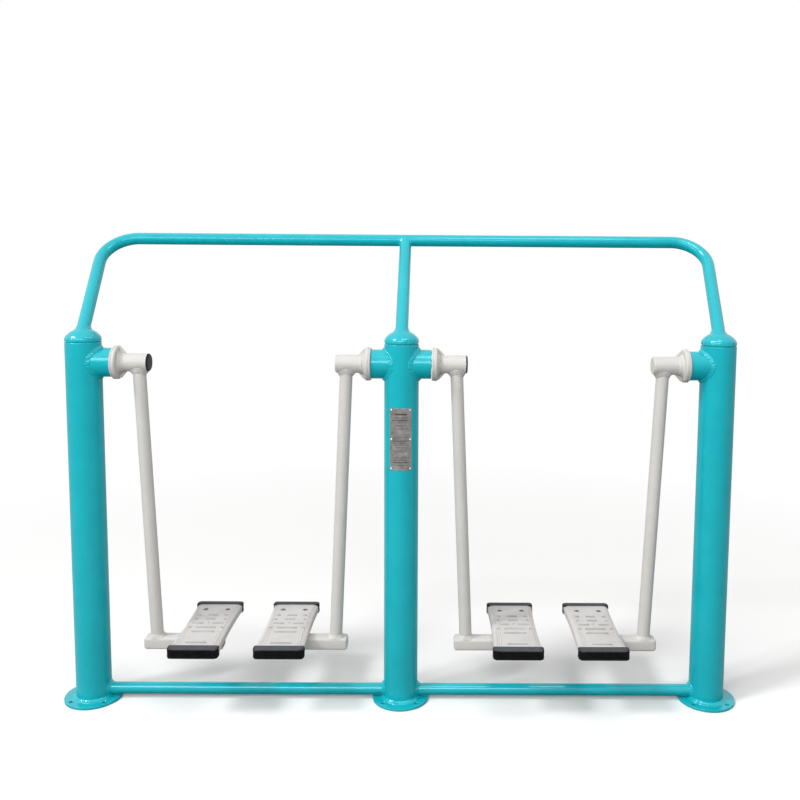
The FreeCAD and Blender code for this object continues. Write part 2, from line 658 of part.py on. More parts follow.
def footplate_outline(inset, z):
    """Waisted outline with rounded corners, seen from above."""
    x_end = FOOTPLATE_WIDTH / 2 - inset
    x_waist = FOOTPLATE_WAIST / 2 - inset
    y_end = FOOTPLATE_LENGTH / 2 - inset
    corner = max(FOOTPLATE_CORNER - inset, SMALLEST_CORNER)
    edges = []
    for sign in (1, -1):
        low = vec(sign * x_end, -sign * (y_end - corner), z)
        middle = vec(sign * x_waist, 0, z)
        high = vec(sign * x_end, sign * (y_end - corner), z)
        edges.append(Part.Arc(low, middle, high).toShape())
        bend = vec(sign * (x_end - corner), sign * (y_end - corner), z)
        diagonal = vec(sign, sign, 0) * (corner / math.sqrt(2))
        end = vec(sign * (x_end - corner), sign * y_end, z)
        edges.append(Part.Arc(high, bend + diagonal, end).toShape())
        other = vec(-sign * (x_end - corner), sign * y_end, z)
        edges.append(Part.LineSegment(end, other).toShape())
        bend = vec(-sign * (x_end - corner), sign * (y_end - corner), z)
        diagonal = vec(-sign, sign, 0) * (corner / math.sqrt(2))
        last = vec(-sign * x_end, sign * (y_end - corner), z)
        edges.append(Part.Arc(other, bend + diagonal, last).toShape())
    return Part.Face(Part.Wire(edges))


def rib(x, y, length):
    """Raised bar across the footplate, with round ends, centred at a point."""
    half = length / 2 - RIB_WIDTH / 2
    root = FOOTPLATE_TOP - OVERSIZE
    height = RIB_HEIGHT + OVERSIZE
    bar = block((x - half, x + half), (y - RIB_WIDTH / 2, y + RIB_WIDTH / 2), (root, root + height))
    for sign in (-1, 1):
        bar = bar.fuse(Part.makeCylinder(RIB_WIDTH / 2, height, vec(x + sign * half, y, root)))
    return bar


def make_ribs():
    """Rows of grip ribs towards the toes, one rib at the heel, and short bars along both borders."""
    first_y = TOE_SCREW_Y - RIB_TOE_MARGIN
    bars = [rib(0, CAP_DEPTH + RIB_HEEL_INSET - FOOTPLATE_LENGTH / 2, RIB_HEEL)]
    for row, places in enumerate(RIB_ROWS):
        for x, length in places:
            bars.append(rib(x, first_y - row * RIB_PITCH, length))
    dash_x = FOOTPLATE_WIDTH / 2 - DASH_INSET
    for index in range(DASH_COUNT):
        y = first_y + (RIB_PITCH / 2 - index * DASH_PITCH)
        for sign in (-1, 1):
            bars.append(rib(sign * dash_x, y, DASH_LENGTH))
    return bars


def make_footplate():
    """Ribbed tread with turned-down sides and four screw bosses."""
    shell = footplate_outline(0, FOOTPLATE_BOTTOM).extrude(vec(0, 0, FOOTPLATE_HEIGHT))
    hollow = footplate_outline(FOOTPLATE_WALL, FOOTPLATE_BOTTOM - OVERSIZE)
    shell = shell.cut(hollow.extrude(vec(0, 0, FOOTPLATE_HEIGHT - FOOTPLATE_WALL + OVERSIZE)))
    pad_height = FOOTPLATE_HEIGHT - FOOTPLATE_WALL / 2
    for y in (TOE_SCREW_Y, HEEL_BOLT_Y):
        for sign in (-1, 1):
            base = vec(sign * SCREW_SPACING / 2, y, FOOTPLATE_BOTTOM)
            shell = shell.fuse(Part.makeCylinder(SCREW_PAD_DIAMETER / 2, pad_height, base))
    shell = shell.multiFuse(make_ribs())
    hole = SCREW_DIAMETER + 2 * FIT
    recess = SCREW_HEAD_DIAMETER + 2 * SCREW_RECESS_MARGIN
    low = FOOTPLATE_BOTTOM - OVERSIZE
    high = FOOTPLATE_TOP + OVERSIZE
    for x in (-SCREW_SPACING / 2, SCREW_SPACING / 2):
        shell = shell.cut(rod(hole, vec(x, TOE_SCREW_Y, low), vec(x, TOE_SCREW_Y, high)))
        seat = vec(x, TOE_SCREW_Y, SCREW_HEAD_SEAT)
        shell = shell.cut(rod(recess, seat, vec(x, TOE_SCREW_Y, high)))
        blind_end = vec(x, HEEL_BOLT_Y, FOOTPLATE_TOP - FOOTPLATE_WALL)
        shell = shell.cut(rod(hole, vec(x, HEEL_BOLT_Y, low), blind_end))
    return shell.removeSplitter().translated(vec(PEDAL_OFFSET, PEDAL_FORWARD, 0))


def make_end_cap(end):
    """Rubber cap pushed over one end of the footplate; end is +1 at the toe, -1 at the heel."""
    bottom = FOOTPLATE_BOTTOM - CAP_LIP
    top = FOOTPLATE_TOP + CAP_LIP
    half_width = FOOTPLATE_WIDTH / 2 + CAP_WALL
    outer_end = FOOTPLATE_LENGTH / 2 + CAP_WALL
    inner_end = FOOTPLATE_LENGTH / 2 - CAP_DEPTH
    shape = block((-half_width, half_width), sorted((end * inner_end, end * outer_end)), (bottom, top))
    past_mouth = inner_end + CAP_EDGE
    corners = [edge for edge in shape.Edges
               if abs(edge.tangentAt(0).z) > PARALLEL and edge.CenterOfMass.y * end > past_mouth]
    shape = shape.makeFillet(CAP_CORNER, corners)
    rims = [edge for edge in shape.Edges
            if abs(edge.Vertexes[0].Point.z - edge.Vertexes[-1].Point.z) < LEVEL
            and edge.CenterOfMass.y * end > past_mouth]
    shape = shape.makeFillet(CAP_EDGE, rims)
    pocket = footplate_outline(-FIT, FOOTPLATE_BOTTOM).extrude(vec(0, 0, FOOTPLATE_HEIGHT))
    return shape.cut(pocket).translated(vec(PEDAL_OFFSET, PEDAL_FORWARD, 0))


def make_end_caps():
    return Part.makeCompound([make_end_cap(1), make_end_cap(-1)])


def make_pedal_fasteners():
    """Toe screws with nuts, and heel bolts that come up from below."""
    solids = []
    under = BRACKET_TOP - SCREW_NUT_HEIGHT
    for x, y in screw_places(TOE_SCREW_Y):
        tip = vec(x, y, under - THREAD_OVERHANG)
        seat = vec(x, y, SCREW_HEAD_SEAT)
        top = vec(x, y, SCREW_HEAD_SEAT + SCREW_HEAD_HEIGHT)
        screw = rod(SCREW_HEAD_DIAMETER, seat, top).fuse(rod(SCREW_DIAMETER, tip, seat))
        socket = hexagon(SCREW_SOCKET, SCREW_HEAD_HEIGHT, top - Z_AXIS * SCREW_SOCKET_DEPTH)
        solids.append(screw.cut(socket).removeSplitter())
        nut = hexagon(SCREW_NUT_FLATS, SCREW_NUT_HEIGHT, vec(x, y, under))
        solids.append(nut.cut(rod(SCREW_DIAMETER + 2 * FIT, tip, seat)))
    for x, y in screw_places(HEEL_BOLT_Y):
        head = hexagon(SCREW_NUT_FLATS, SCREW_NUT_HEIGHT, vec(x, y, under))
        tip = vec(x, y, FOOTPLATE_TOP - FOOTPLATE_WALL - THREAD_OVERHANG)
        solids.append(head.fuse(rod(SCREW_DIAMETER, vec(x, y, BRACKET_TOP), tip)))
    return Part.makeCompound(solids)


def frame_parts():
    parts = {}
    for name, x in POSTS.items():
        parts["post_" + name] = make_post(name)
        parts["base_flange_" + name] = make_base_flange(x)
        parts["post_dome_" + name] = make_dome(x)
        bosses = [placed(make_boss(), name, side) for side in post_sides(name)]
        parts["axle_boss_" + name] = Part.makeCompound(bosses)
    parts["handrail"] = make_handrail()
    parts["handrail_centre_leg"] = make_centre_leg()
    parts["lower_rail_left"] = make_lower_rail(POSTS["left"], POSTS["centre"])
    parts["lower_rail_right"] = make_lower_rail(POSTS["centre"], POSTS["right"])
    axles = [placed(axle_front(), "left", 1), make_centre_axle(), placed(axle_front(), "right", -1)]
    parts["axles"] = Part.makeCompound(axles)
    hardware = []
    for post, side in SWINGS.values():
        hardware += [placed(solid, post, side) for solid in axle_hardware()]
    parts["axle_hardware"] = Part.makeCompound(hardware)
    parts["name_plate"] = make_name_plate()
    parts["name_plate_rivets"] = make_rivets()
    return parts


def swing_parts():
    """Pieces of one swing unit, made for the +X side of a post at the origin."""
    return {
        "hub_tube": make_hub_tube(),
        "hub_flange": make_hub_flange(),
        "hub_end_plug": make_hub_plug(),
        "bearing_rings": make_bearing_rings(),
        "swing_arm": make_arm(),
        "pedal_bracket": make_bracket(),
        "pedal_carrier": make_carrier(),
        "footplate": make_footplate(),
        "pedal_end_caps": make_end_caps(),
        "pedal_fasteners": make_pedal_fasteners(),
    }


def main():
    os.makedirs("parts", exist_ok=True)
    parts = frame_parts()
    unit = swing_parts()
    for number, (post, side) in SWINGS.items():
        for name, shape in unit.items():
            parts[name + "_" + str(number)] = placed(shape, post, side)
    for name, shape in parts.items():
        shape.exportStep("parts/" + name + ".step")
        box = shape.BoundBox
        print(name, len(shape.Solids), "solids", "valid" if shape.isValid() else "NOT VALID",
              "x %.1f %.1f y %.1f %.1f z %.1f %.1f" % (box.XMin, box.XMax, box.YMin, box.YMax,
                                                       box.ZMin, box.ZMax))
    print(len(parts), "nodes")


main()
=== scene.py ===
"""Looks of an outdoor air walker for two people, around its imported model.

Units are metres. The origin is on the ground, on the axis of the centre post; X runs along the
machine, the handrail leans to +Y, and Z is up.
"""
import json
import math

import bmesh
import bpy
from mathutils import Matrix, Vector, noise
from mathutils.bvhtree import BVHTree


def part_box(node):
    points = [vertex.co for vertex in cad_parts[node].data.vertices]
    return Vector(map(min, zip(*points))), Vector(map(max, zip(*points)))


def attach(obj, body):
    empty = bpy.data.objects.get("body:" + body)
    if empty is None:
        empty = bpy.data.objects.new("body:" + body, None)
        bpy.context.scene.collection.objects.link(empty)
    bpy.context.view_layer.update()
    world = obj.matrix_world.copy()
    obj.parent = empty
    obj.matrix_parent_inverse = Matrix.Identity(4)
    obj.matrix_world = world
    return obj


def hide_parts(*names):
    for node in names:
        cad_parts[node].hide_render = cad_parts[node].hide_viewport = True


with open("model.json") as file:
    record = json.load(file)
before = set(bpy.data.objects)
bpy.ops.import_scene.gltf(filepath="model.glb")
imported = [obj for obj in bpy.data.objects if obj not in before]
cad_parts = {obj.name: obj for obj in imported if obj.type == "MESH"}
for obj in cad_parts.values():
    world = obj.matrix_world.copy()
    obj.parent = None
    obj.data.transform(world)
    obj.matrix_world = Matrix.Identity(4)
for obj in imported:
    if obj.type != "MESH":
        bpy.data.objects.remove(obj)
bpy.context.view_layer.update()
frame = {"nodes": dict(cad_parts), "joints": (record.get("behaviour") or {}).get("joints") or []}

# Camera, fitted to the photograph; pixel values are in its 800 x 800 frame
PHOTO_WIDTH = 800.0
FOCAL_PIXELS = 848.1
CENTRE_PIXEL = (442.0, 337.2)
CAMERA_PLACE = Vector((0.1154, -2.7752, 1.5007))
CAMERA_PITCH = 0.0944
CAMERA_YAW = -0.0062
CAMERA_ROLL = 0.0073
SENSOR_WIDTH = 36.0

# Light
AMBIENT = 0.58
WORLD_TONE = (1.0, 0.99, 0.975)
SUN_DIRECTION = Vector((-1.229, -0.600, 1.560))
SUN_STRENGTH = 1.25
SUN_ANGLE = 10.0
SOFTBOXES = {
    "overhead": (14.0, (1.4, 0.6), (0.6, -0.9, 3.3), (0.2, 0.0, 0.6)),
    "front": (115.0, (5.4, 1.0), (-1.6, -3.1, 2.7), (-0.3, 0.0, 0.8)),
}
FLOOR_SIZE = 60.0
FLOOR_DROP = 0.0005
FLOOR_TONE = (0.27, 0.265, 0.26)
FLOOR_SHOWN = 0.90            # tone near the object; plain white far from it
FLOOR_BLEND = (1.2, 3.4)      # distances from the middle

# Dome and post
DOME_SKIRT = 0.0035
DOME_CROWN = 0.006           # how much higher the crown is than the plain cap
DOME_KNUCKLE = 0.020
DOME_LIP = 0.0005            # how far the dome stands out past the post
DOME_UNEVEN = 0.0007
SEAM_HEIGHT = 0.0046
SEAM_DEPTH = 0.0035
SEAM_WANDER = 0.0018
POST_SEGMENTS = 160
FLANGE_SEGMENTS = 144
FLANGE_EDGE = 0.0016
FLANGE_CORE = 0.03           # radius inside which the flange is flat and hidden by the post
HOLE_RADIUS = 0.007
HOLE_COUNTERSINK = 0.002     # how much wider a hole or recess is at its rim
HOLE_CIRCLE = 0.079
HOLE_TURNS = (45, 135, 225, 315)

# Welds: width up the first surface and along the second, and the size of the lumps
WELDS = {
    "base": ((0.008, 0.011), 0.0008), "boss": ((0.007, 0.009), 0.0009),
    "leg_foot": ((0.023, 0.018), 0.0007), "leg_top": ((0.010, 0.006), 0.0005),
    "arm_hub": ((0.011, 0.009), 0.0010), "arm_bracket": ((0.010, 0.008), 0.0007),
    "cone": ((0.003, 0.006), 0.0007),
}
RAIL_WELD = (0.004, 0.006, 0.0075)   # at the rail's underside; added at its top, up and along
RAIL_WELD_LUMPS = 0.0007
FLARE_LIP = 0.0005
BOSS_STEPS = 160
TUBE_STEPS = 72
WELD_FULLNESS = 0.35
WELD_LIP = 0.0011            # step at a weld's edges
WELD_SINK = 0.0003
RIPPLE_STEPS = 4

# Handrail
RAIL_SPLAY = 0.045
LEG_FOOT_DROP = 0.004        # leg axis start below the top of the dome

# Hub
HUB_FLANGE_WIDTH = 0.020
HUB_FLANGE_BEVEL = 0.004
HUB_FRONT_BEVEL = 0.0035
HUB_GROOVE = 0.0014
CONE_LENGTH = 0.010
CONE_HEIGHT = 0.009
GUSSET_THICKNESS = 0.007
GUSSET_LENGTH = 0.021
HUB_GROOVE_PLACE = 0.0075    # from the flange's front
HUB_SEGMENTS = 96
PLUG_ROUND = 0.0055
PLUG_DOME = 0.001
PLUG_SEAT = 0.003            # how far the plug reaches into the tube

# Arm and bracket
ARM_RADIUS = 0.021
BRACKET_CORNER = 0.008
BRACKET_END_ROUND = 0.010
BRACKET_WALL = 0.003
BRACKET_VIEW = 0.12          # how far the open end is hollow

# Pedal
WAIST_DRAW = 0.005
FOOTPLATE_CORNER = 0.014
FOOTPLATE_WALL = 0.004
FOOTPLATE_SHOULDER = (0.012, 0.0055)
FOOTPLATE_GROOVE = (0.0018, 0.0014)
RIB_WIDTH = 0.0075
RIB_EDGE = 0.0013
RIB_RISE = 0.0026
STUD_RISE = 0.0020
RIB_PITCH = 0.033
RIB_ROWS = (
    ((0.0, 0.034), (-0.046, 0.014), (0.046, 0.014)),
    ((0.0, 0.034), (-0.050, 0.010), (0.050, 0.010)),
    ((-0.034, 0.038), (0.034, 0.038)),
    ((0.0, 0.070), (-0.054, 0.012), (0.054, 0.012)),
    ((0.0, 0.076),),
)
RIB_FIRST = 0.072            # first row from the middle of the pedal, towards the toes
RIB_HEEL = (-0.142, 0.068)
STUD_RADIUS = 0.0026
STUD_COLUMNS = (0.0165, 0.0245)
STUD_PITCH = 0.0105
STUD_RANGE = (-0.150, 0.088)
SCREW_SPACING = 0.078
SCREW_Y = (0.123, -0.128)
SCREW_RECESS = 0.009
SCREW_RECESS_DEPTH = 0.0032
SCREW_SEAT = 0.012           # radius of the column round a screw, under the plate
CAP_PROUD = 0.003            # how far the caps stand above the plate
CENTRE_STUD = (0.006, 0.004) # place past the third row, and radius
CAP_COVER = 0.025
CAP_CORNER = 0.015
CAP_NOSE = (0.008, 0.0035)
TOOTH_PITCH = 0.0068
TOOTH_DEPTH = 0.0024

# Name plate
PLATE_CORNER = 0.006
PLATE_FRAME = 0.0045
PLATE_RELIEF = 0.0003
PLATE_STEP = 0.0006          # width of the slope from the frame to the field
PLATE_RINGS = 6
RULE_RISE = 0.00012
RULE_DEPTH = 0.0006
RULE_STEPS = 12
PLATE_LINES = (               # distance below the top edge, half length, thickness
    (0.020, 0.020, 0.0050), (0.031, 0.026, 0.0012), (0.040, 0.026, 0.0028), (0.047, 0.026, 0.0010),
    (0.056, 0.017, 0.0016), (0.068, 0.026, 0.0008), (0.096, 0.026, 0.0008), (0.108, 0.026, 0.0024),
    (0.115, 0.024, 0.0010), (0.122, 0.026, 0.0010), (0.129, 0.020, 0.0010), (0.143, 0.026, 0.0008),
    (0.163, 0.026, 0.0008), (0.172, 0.022, 0.0012), (0.179, 0.026, 0.0030), (0.188, 0.026, 0.0012),
)
RIVET_RADIUS = 0.0035
RIVET_HEIGHT = 0.0018
RIVET_INSET = 0.006
RIVET_TURNS = (0, 0.35, 0.7, 1.05, 1.35)

POSTS = ("left", "centre", "right")
SWINGS = {1: ("left", 1), 2: ("centre", -1), 3: ("centre", 1), 4: ("right", -1)}


def middle(name):
    low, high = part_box(name)
    return (low + high) / 2


def size(name):
    low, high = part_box(name)
    return high - low


# Sizes read from the frame
POST_X = {post: middle("base_flange_" + post).x for post in POSTS}
POST_RADIUS = size("post_left").x / 2
POST_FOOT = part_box("post_left")[0].z
POST_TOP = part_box("post_left")[1].z
DOME_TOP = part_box("post_dome_left")[1].z
FLANGE_RADIUS = size("base_flange_left").x / 2
HUB_HEIGHT = frame["joints"][0]["pos_m"][2]
BOSS_RADIUS = size("axle_boss_left").z / 2
BOSS_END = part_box("axle_boss_left")[1].x - POST_X["left"]
HUB_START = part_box("hub_tube_1")[0].x - POST_X["left"]
HUB_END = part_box("hub_tube_1")[1].x - POST_X["left"]
HUB_RADIUS = size("hub_tube_1").y / 2
HUB_FLANGE_RADIUS = size("hub_flange_1").y / 2
RAIL_RADIUS = size("handrail_centre_leg").x / 2
RAIL_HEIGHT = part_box("handrail")[1].z - RAIL_RADIUS
RAIL_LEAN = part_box("handrail")[1].y - RAIL_RADIUS
LOWER_RAIL_HEIGHT = middle("lower_rail_left").z
LOWER_RAIL_RADIUS = size("lower_rail_left").z / 2


# Shapes

def add_object(name, data):
    thing = bpy.data.objects.new(name, data)
    bpy.context.scene.collection.objects.link(thing)
    return thing


class Shape:
    """Points and faces gathered for one piece."""

    def __init__(self):
        self.points = []
        self.faces = []

    def loft(self, rings, loop=False):
        """Joins rings of equally many points, closed by end faces or, with loop, into a ring."""
        start = len(self.points)
        count = len(rings[0])
        for ring in rings:
            self.points.extend(ring)
        spans = len(rings) if loop else len(rings) - 1
        for row in range(spans):
            here = start + row * count
            there = start + (row + 1) % len(rings) * count
            for index in range(count):
                after = (index + 1) % count
                self.faces.append((here + index, here + after, there + after, there + index))
        if not loop:
            self.faces.append(tuple(range(start, start + count)))
            last = start + (len(rings) - 1) * count
            self.faces.append(tuple(range(last, last + count)))
        return self

    def bare(self, name, across=None):
        """Object with no finish yet; across is (post x, side) for a shape drawn outwards from a post."""
        points = self.points
        if across:
            points = [Vector((across[0] + across[1] * p[0], p[1], p[2])) for p in points]
        mesh = bpy.data.meshes.new(name)
        mesh.from_pydata(points, [], self.faces)
        work = bmesh.new()
        work.from_mesh(mesh)
        bmesh.ops.remove_doubles(work, verts=work.verts, dist=1e-6)
        bmesh.ops.recalc_face_normals(work, faces=work.faces)
        work.to_mesh(mesh)
        work.free()
        return add_object(name, mesh)

    def piece(self, name, finish, body, replaces=(), across=None, sharp=40.0):
        """Finished piece on its body."""
        return dress(self.bare(name, across), finish, body, replaces, sharp)


def dress(thing, finish, body, replaces=(), sharp=40.0):
    """Shades a piece smooth, gives it a finish and fixes it to its body."""
    material, slot = finish
    mesh = thing.data
    mesh.polygons.foreach_set("use_smooth", [True] * len(mesh.polygons))
    mesh.set_sharp_from_angle(angle=math.radians(sharp))
    mesh.materials.clear()
    mesh.materials.append(material)
    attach(thing, body)
    if replaces:
        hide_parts(*replaces)
    return thing


def arc(centre, radius, start, end, steps):
    """Points of a flat arc between two angles in degrees."""
    turns = [math.radians(start + (end - start) * step / steps) for step in range(steps + 1)]
    return [(centre[0] + radius * math.cos(turn), centre[1] + radius * math.sin(turn)) for turn in turns]


def rounded(corners, steps=5):
    """Flat outline whose corners (x, y, radius) are replaced by arcs."""
    outline = []
    for index, (x, y, radius) in enumerate(corners):
        here = Vector((x, y))
        if radius == 0 or index in (0, len(corners) - 1):
            outline.append((x, y))
            continue
        before = (Vector(corners[index - 1][:2]) - here).normalized()
        after = (Vector(corners[index + 1][:2]) - here).normalized()
        half = before.angle(after) / 2
        reach = radius / math.tan(half)
        first = here + before * reach
        last = here + after * reach
        centre = here + (before + after).normalized() * (radius / math.sin(half))
        begin = math.atan2(*(first - centre).yx)
        sweep = math.atan2(*(last - centre).yx) - begin
        sweep = (sweep + math.pi) % (2 * math.pi) - math.pi
        outline += arc(centre, radius, math.degrees(begin), math.degrees(begin + sweep), steps)
    return outline


def circle(place, radius, height, count=32):
    """Level ring of points round a place."""
    points = arc((0, 0), radius, 0, 360 - 360 / count, count - 1)
    return [place + Vector((x, y, height)) for x, y in points]


def rounded_box(half_wide, half_tall, corner, steps, across=1, upward=1):
    """Rectangle about the origin with round corners, its sides divided into parts."""
    points = []
    for sx, sy, start in ((1, -1, -90), (1, 1, 0), (-1, 1, 90), (-1, -1, 180)):
        centre = (sx * (half_wide - corner), sy * (half_tall - corner))
        points += arc(centre, corner, start, start + 90, steps)
    outline = []
    for index, here in enumerate(points):
        there = points[(index + 1) % len(points)]
        parts = 1
        if index % (steps + 1) == steps:
            parts = across if abs(here[1] - there[1]) < 1e-6 else upward
        for step in range(parts):
            t = step / parts
            outline.append((here[0] + (there[0] - here[0]) * t, here[1] + (there[1] - here[1]) * t))
    return outline


def upright_lathe(outline, x, segments, stir=None):
    """Turns (radius, height) points round a post's axis; stir may move each point."""
    rings = []
    for radius, height in outline:
        ring = []
        for index in range(segments):
            turn = 2 * math.pi * index / segments
            r, z = stir(turn, radius, height) if stir else (radius, height)
            ring.append(Vector((x + r * math.cos(turn), r * math.sin(turn), z)))
        rings.append(ring)
    return Shape().loft(rings)


def hub_lathe(outline):
    """Turns (distance from the post, radius) points round the hub's axis."""
    rings = []
    for reach, radius in outline:
        ring = []
        for index in range(HUB_SEGMENTS):
            turn = 2 * math.pi * index / HUB_SEGMENTS
            ring.append(Vector((reach, radius * math.cos(turn), HUB_HEIGHT + radius * math.sin(turn))))
        rings.append(ring)
    return Shape().loft(rings)


def subtract(thing, cutters):
    """Cuts closed pieces out of another and removes them."""
    for cutter in cutters:
        modifier = thing.modifiers.new("cut", "BOOLEAN")
        modifier.object = cutter
        modifier.operation = "DIFFERENCE"
        modifier.solver = "EXACT"
    bpy.context.view_layer.update()
    seen = thing.evaluated_get(bpy.context.evaluated_depsgraph_get())
    mesh = bpy.data.meshes.new_from_object(seen)
    thing.modifiers.clear()
    thing.data = mesh
    for cutter in cutters:
        bpy.data.objects.remove(cutter)
    return thing


def countersink(place, radius, bottom, top):
    """Cutter for a round hole or recess whose rim is bevelled."""
    rings = [circle(place, radius, bottom), circle(place, radius, top - 0.0008),
             circle(place, radius + HOLE_COUNTERSINK, top + 0.0012)]
    return Shape().loft(rings).bare("cutter")


# Finishes

def connect(tree, source, target):
    tree.links.new(source, target)


def add_node(tree, kind, **values):
    """Adds a node and sets its inputs by name."""
    node = tree.nodes.new(kind)
    for name, value in values.items():
        node.inputs[name.replace("_", " ")].default_value = value
    return node


def noise_node(tree, scale, detail=2.0, roughness=0.5, stretch=None):
    """Noise in the piece's own coordinates."""
    coordinates = tree.nodes.new("ShaderNodeTexCoord")
    source = coordinates.outputs["Object"]
    if stretch:
        mapping = add_node(tree, "ShaderNodeMapping", Scale=stretch)
        connect(tree, source, mapping.inputs["Vector"])
        source = mapping.outputs["Vector"]
    texture = add_node(tree, "ShaderNodeTexNoise", Scale=scale, Detail=detail, Roughness=roughness)
    connect(tree, source, texture.inputs["Vector"])
    return texture.outputs["Fac"]


def spread(tree, source, low, high, start=0.3, end=0.7):
    """Maps a noise value to a range."""
    node = tree.nodes.new("ShaderNodeMapRange")
    node.inputs["From Min"].default_value = start
    node.inputs["From Max"].default_value = end
    node.inputs["To Min"].default_value = low
    node.inputs["To Max"].default_value = high
    connect(tree, source, node.inputs["Value"])
    return node.outputs["Result"]


def blend_colours(tree, factor, first, second):
    node = tree.nodes.new("ShaderNodeMix")
    node.data_type = "RGBA"
    node.inputs["A"].default_value = (*first, 1)
    node.inputs["B"].default_value = (*second, 1)
    connect(tree, factor, node.inputs["Factor"])
    return node.outputs["Result"]


def calculate(tree, operation, first, second):
    node = tree.nodes.new("ShaderNodeMath")
    node.operation = operation
    connect(tree, first, node.inputs[0])
    connect(tree, second, node.inputs[1])
    return node.outputs[0]


def mix_shaders(tree, factor, first, second):
    node = tree.nodes.new("ShaderNodeMixShader")
    for index, source in enumerate((factor, first.outputs[0], second.outputs[0])):
        connect(tree, source, node.inputs[index])
    return node


def bump(tree, height, strength, distance, below=None):
    node = add_node(tree, "ShaderNodeBump", Strength=strength, Distance=distance)
    connect(tree, height, node.inputs["Height"])
    if below:
        connect(tree, below, node.inputs["Normal"])
    return node.outputs["Normal"]


def new_material(name):
    material = bpy.data.materials.new(name)
    material.use_nodes = True
    tree = material.node_tree
    return material, tree, tree.nodes["Principled BSDF"]


def mottled(name, light, dark, *grain):
    """Material whose colour wanders between two tones; grain is a noise's scale, detail and roughness."""
    material, tree, shader = new_material(name)
    patches = spread(tree, noise_node(tree, *grain), 0, 1)
    connect(tree, blend_colours(tree, patches, dark, light), shader.inputs["Base Color"])
    return material, tree, shader


def height_of_normal(tree):
    """How far a surface faces up, in the piece's own coordinates."""
    coordinates = tree.nodes.new("ShaderNodeTexCoord")
    parts = tree.nodes.new("ShaderNodeSeparateXYZ")
    connect(tree, coordinates.outputs["Normal"], parts.inputs[0])
    return parts.outputs["Z"]


def painted_sky_gloss(tree, shader, level, top):
    """Specular level with a painted reflection: glossier upward faces stand in for a bright sky above, duller
    downward faces for dark ground below, and less at grazing angles to keep the colour.
    """
    weight = add_node(tree, "ShaderNodeLayerWeight", Blend=0.5)
    side = spread(tree, weight.outputs["Facing"], level, level * 0.1, 0.30, 0.75)
    height = height_of_normal(tree)
    # Painted reflection: specular level set by which way a face points, as if dark ground lay below and
    # bright sky above
    painted_dark_ground_gloss = calculate(tree, "MULTIPLY", side, spread(tree, height, 0.15, 1, -0.5, 0.0))
    mix = tree.nodes.new("ShaderNodeMix")
    connect(tree, spread(tree, height, 0, 1, 0.05, 0.55), mix.inputs["Factor"])
    connect(tree, painted_dark_ground_gloss, mix.inputs["A"])
    connect(tree, spread(tree, weight.outputs["Facing"], top, top * 0.1, 0.6, 0.9), mix.inputs["B"])
    connect(tree, mix.outputs["Result"], shader.inputs["Specular IOR Level"])


def paint(name, light, dark, gloss, specular, top, tint=(1, 1, 1), peel=0.12):
    """Sprayed enamel: a little uneven in colour and gloss, with an orange peel surface."""
    material, tree, shader = mottled(name, light, dark, 9.0, 4.0, 0.6)
    cloud = noise_node(tree, 35.0, 3.0)
    connect(tree, spread(tree, cloud, gloss - 0.05, gloss + 0.06), shader.inputs["Roughness"])
    waves = bump(tree, noise_node(tree, 60.0, 2.0), 0.12, 0.002)
    grain = bump(tree, noise_node(tree, 650.0, 2.0), peel, 0.0004, waves)
    connect(tree, grain, shader.inputs["Normal"])
    # Specular level carries a painted sky reflection on upward faces
    painted_sky_gloss(tree, shader, specular, top)
    shader.inputs["Specular Tint"].default_value = (*tint, 1)
    return material


def rubber(name):
    """Black moulded rubber whose upward faces are lighter and bluish: part dust, part painted sheen of the
    sky.
    """
    material, tree, shader = new_material(name)
    blotch = spread(tree, noise_node(tree, 45.0, 5.0, 0.7), 0, 1, 0.35, 0.75)
    clean = blend_colours(tree, blotch, (0.003, 0.003, 0.004), (0.008, 0.008, 0.009))
    # Lighter bluish tone on upward faces: partly dust, partly a painted sky sheen
    upward = spread(tree, height_of_normal(tree), 0, 1, 0.35, 0.95)
    scuff = spread(tree, noise_node(tree, 70.0, 4.0, 0.7), 0.7, 1.0)
    dust_and_sheen = tree.nodes.new("ShaderNodeMix")
    dust_and_sheen.data_type = "RGBA"
    connect(tree, calculate(tree, "MULTIPLY", upward, scuff), dust_and_sheen.inputs["Factor"])
    connect(tree, clean, dust_and_sheen.inputs["A"])
    dust_and_sheen.inputs["B"].default_value = (0.085, 0.089, 0.098, 1)
    connect(tree, dust_and_sheen.outputs["Result"], shader.inputs["Base Color"])
    connect(tree, spread(tree, noise_node(tree, 120.0, 3.0), 0.5, 0.68), shader.inputs["Roughness"])
    connect(tree, bump(tree, noise_node(tree, 1500.0, 3.0), 0.35, 0.0004), shader.inputs["Normal"])
    shader.inputs["Specular IOR Level"].default_value = 0.06
    return material


def moulded(name, light, dark, gloss, specular=0.4):
    """Plain moulded plastic or cast skin with a fine grain."""
    material, tree, shader = mottled(name, light, dark, 14.0, 5.0, 0.65)
    connect(tree, spread(tree, noise_node(tree, 80.0, 3.0), gloss - 0.07, gloss + 0.07),
            shader.inputs["Roughness"])
    connect(tree, bump(tree, noise_node(tree, 900.0, 3.0), 0.3, 0.0004), shader.inputs["Normal"])
    shader.inputs["Specular IOR Level"].default_value = specular
    return material


def steel(name, light, dark, gloss, stretch=None):
    """Bare or zinc-plated steel with fine machining marks."""
    material, tree, shader = mottled(name, light, dark, 60.0, 4.0, 0.6)
    marks = noise_node(tree, 300.0, 3.0, 0.6, stretch)
    connect(tree, spread(tree, marks, gloss - 0.08, gloss + 0.1), shader.inputs["Roughness"])
    connect(tree, bump(tree, marks, 0.2, 0.0003), shader.inputs["Normal"])
    shader.inputs["Metallic"].default_value = 1.0
    return material


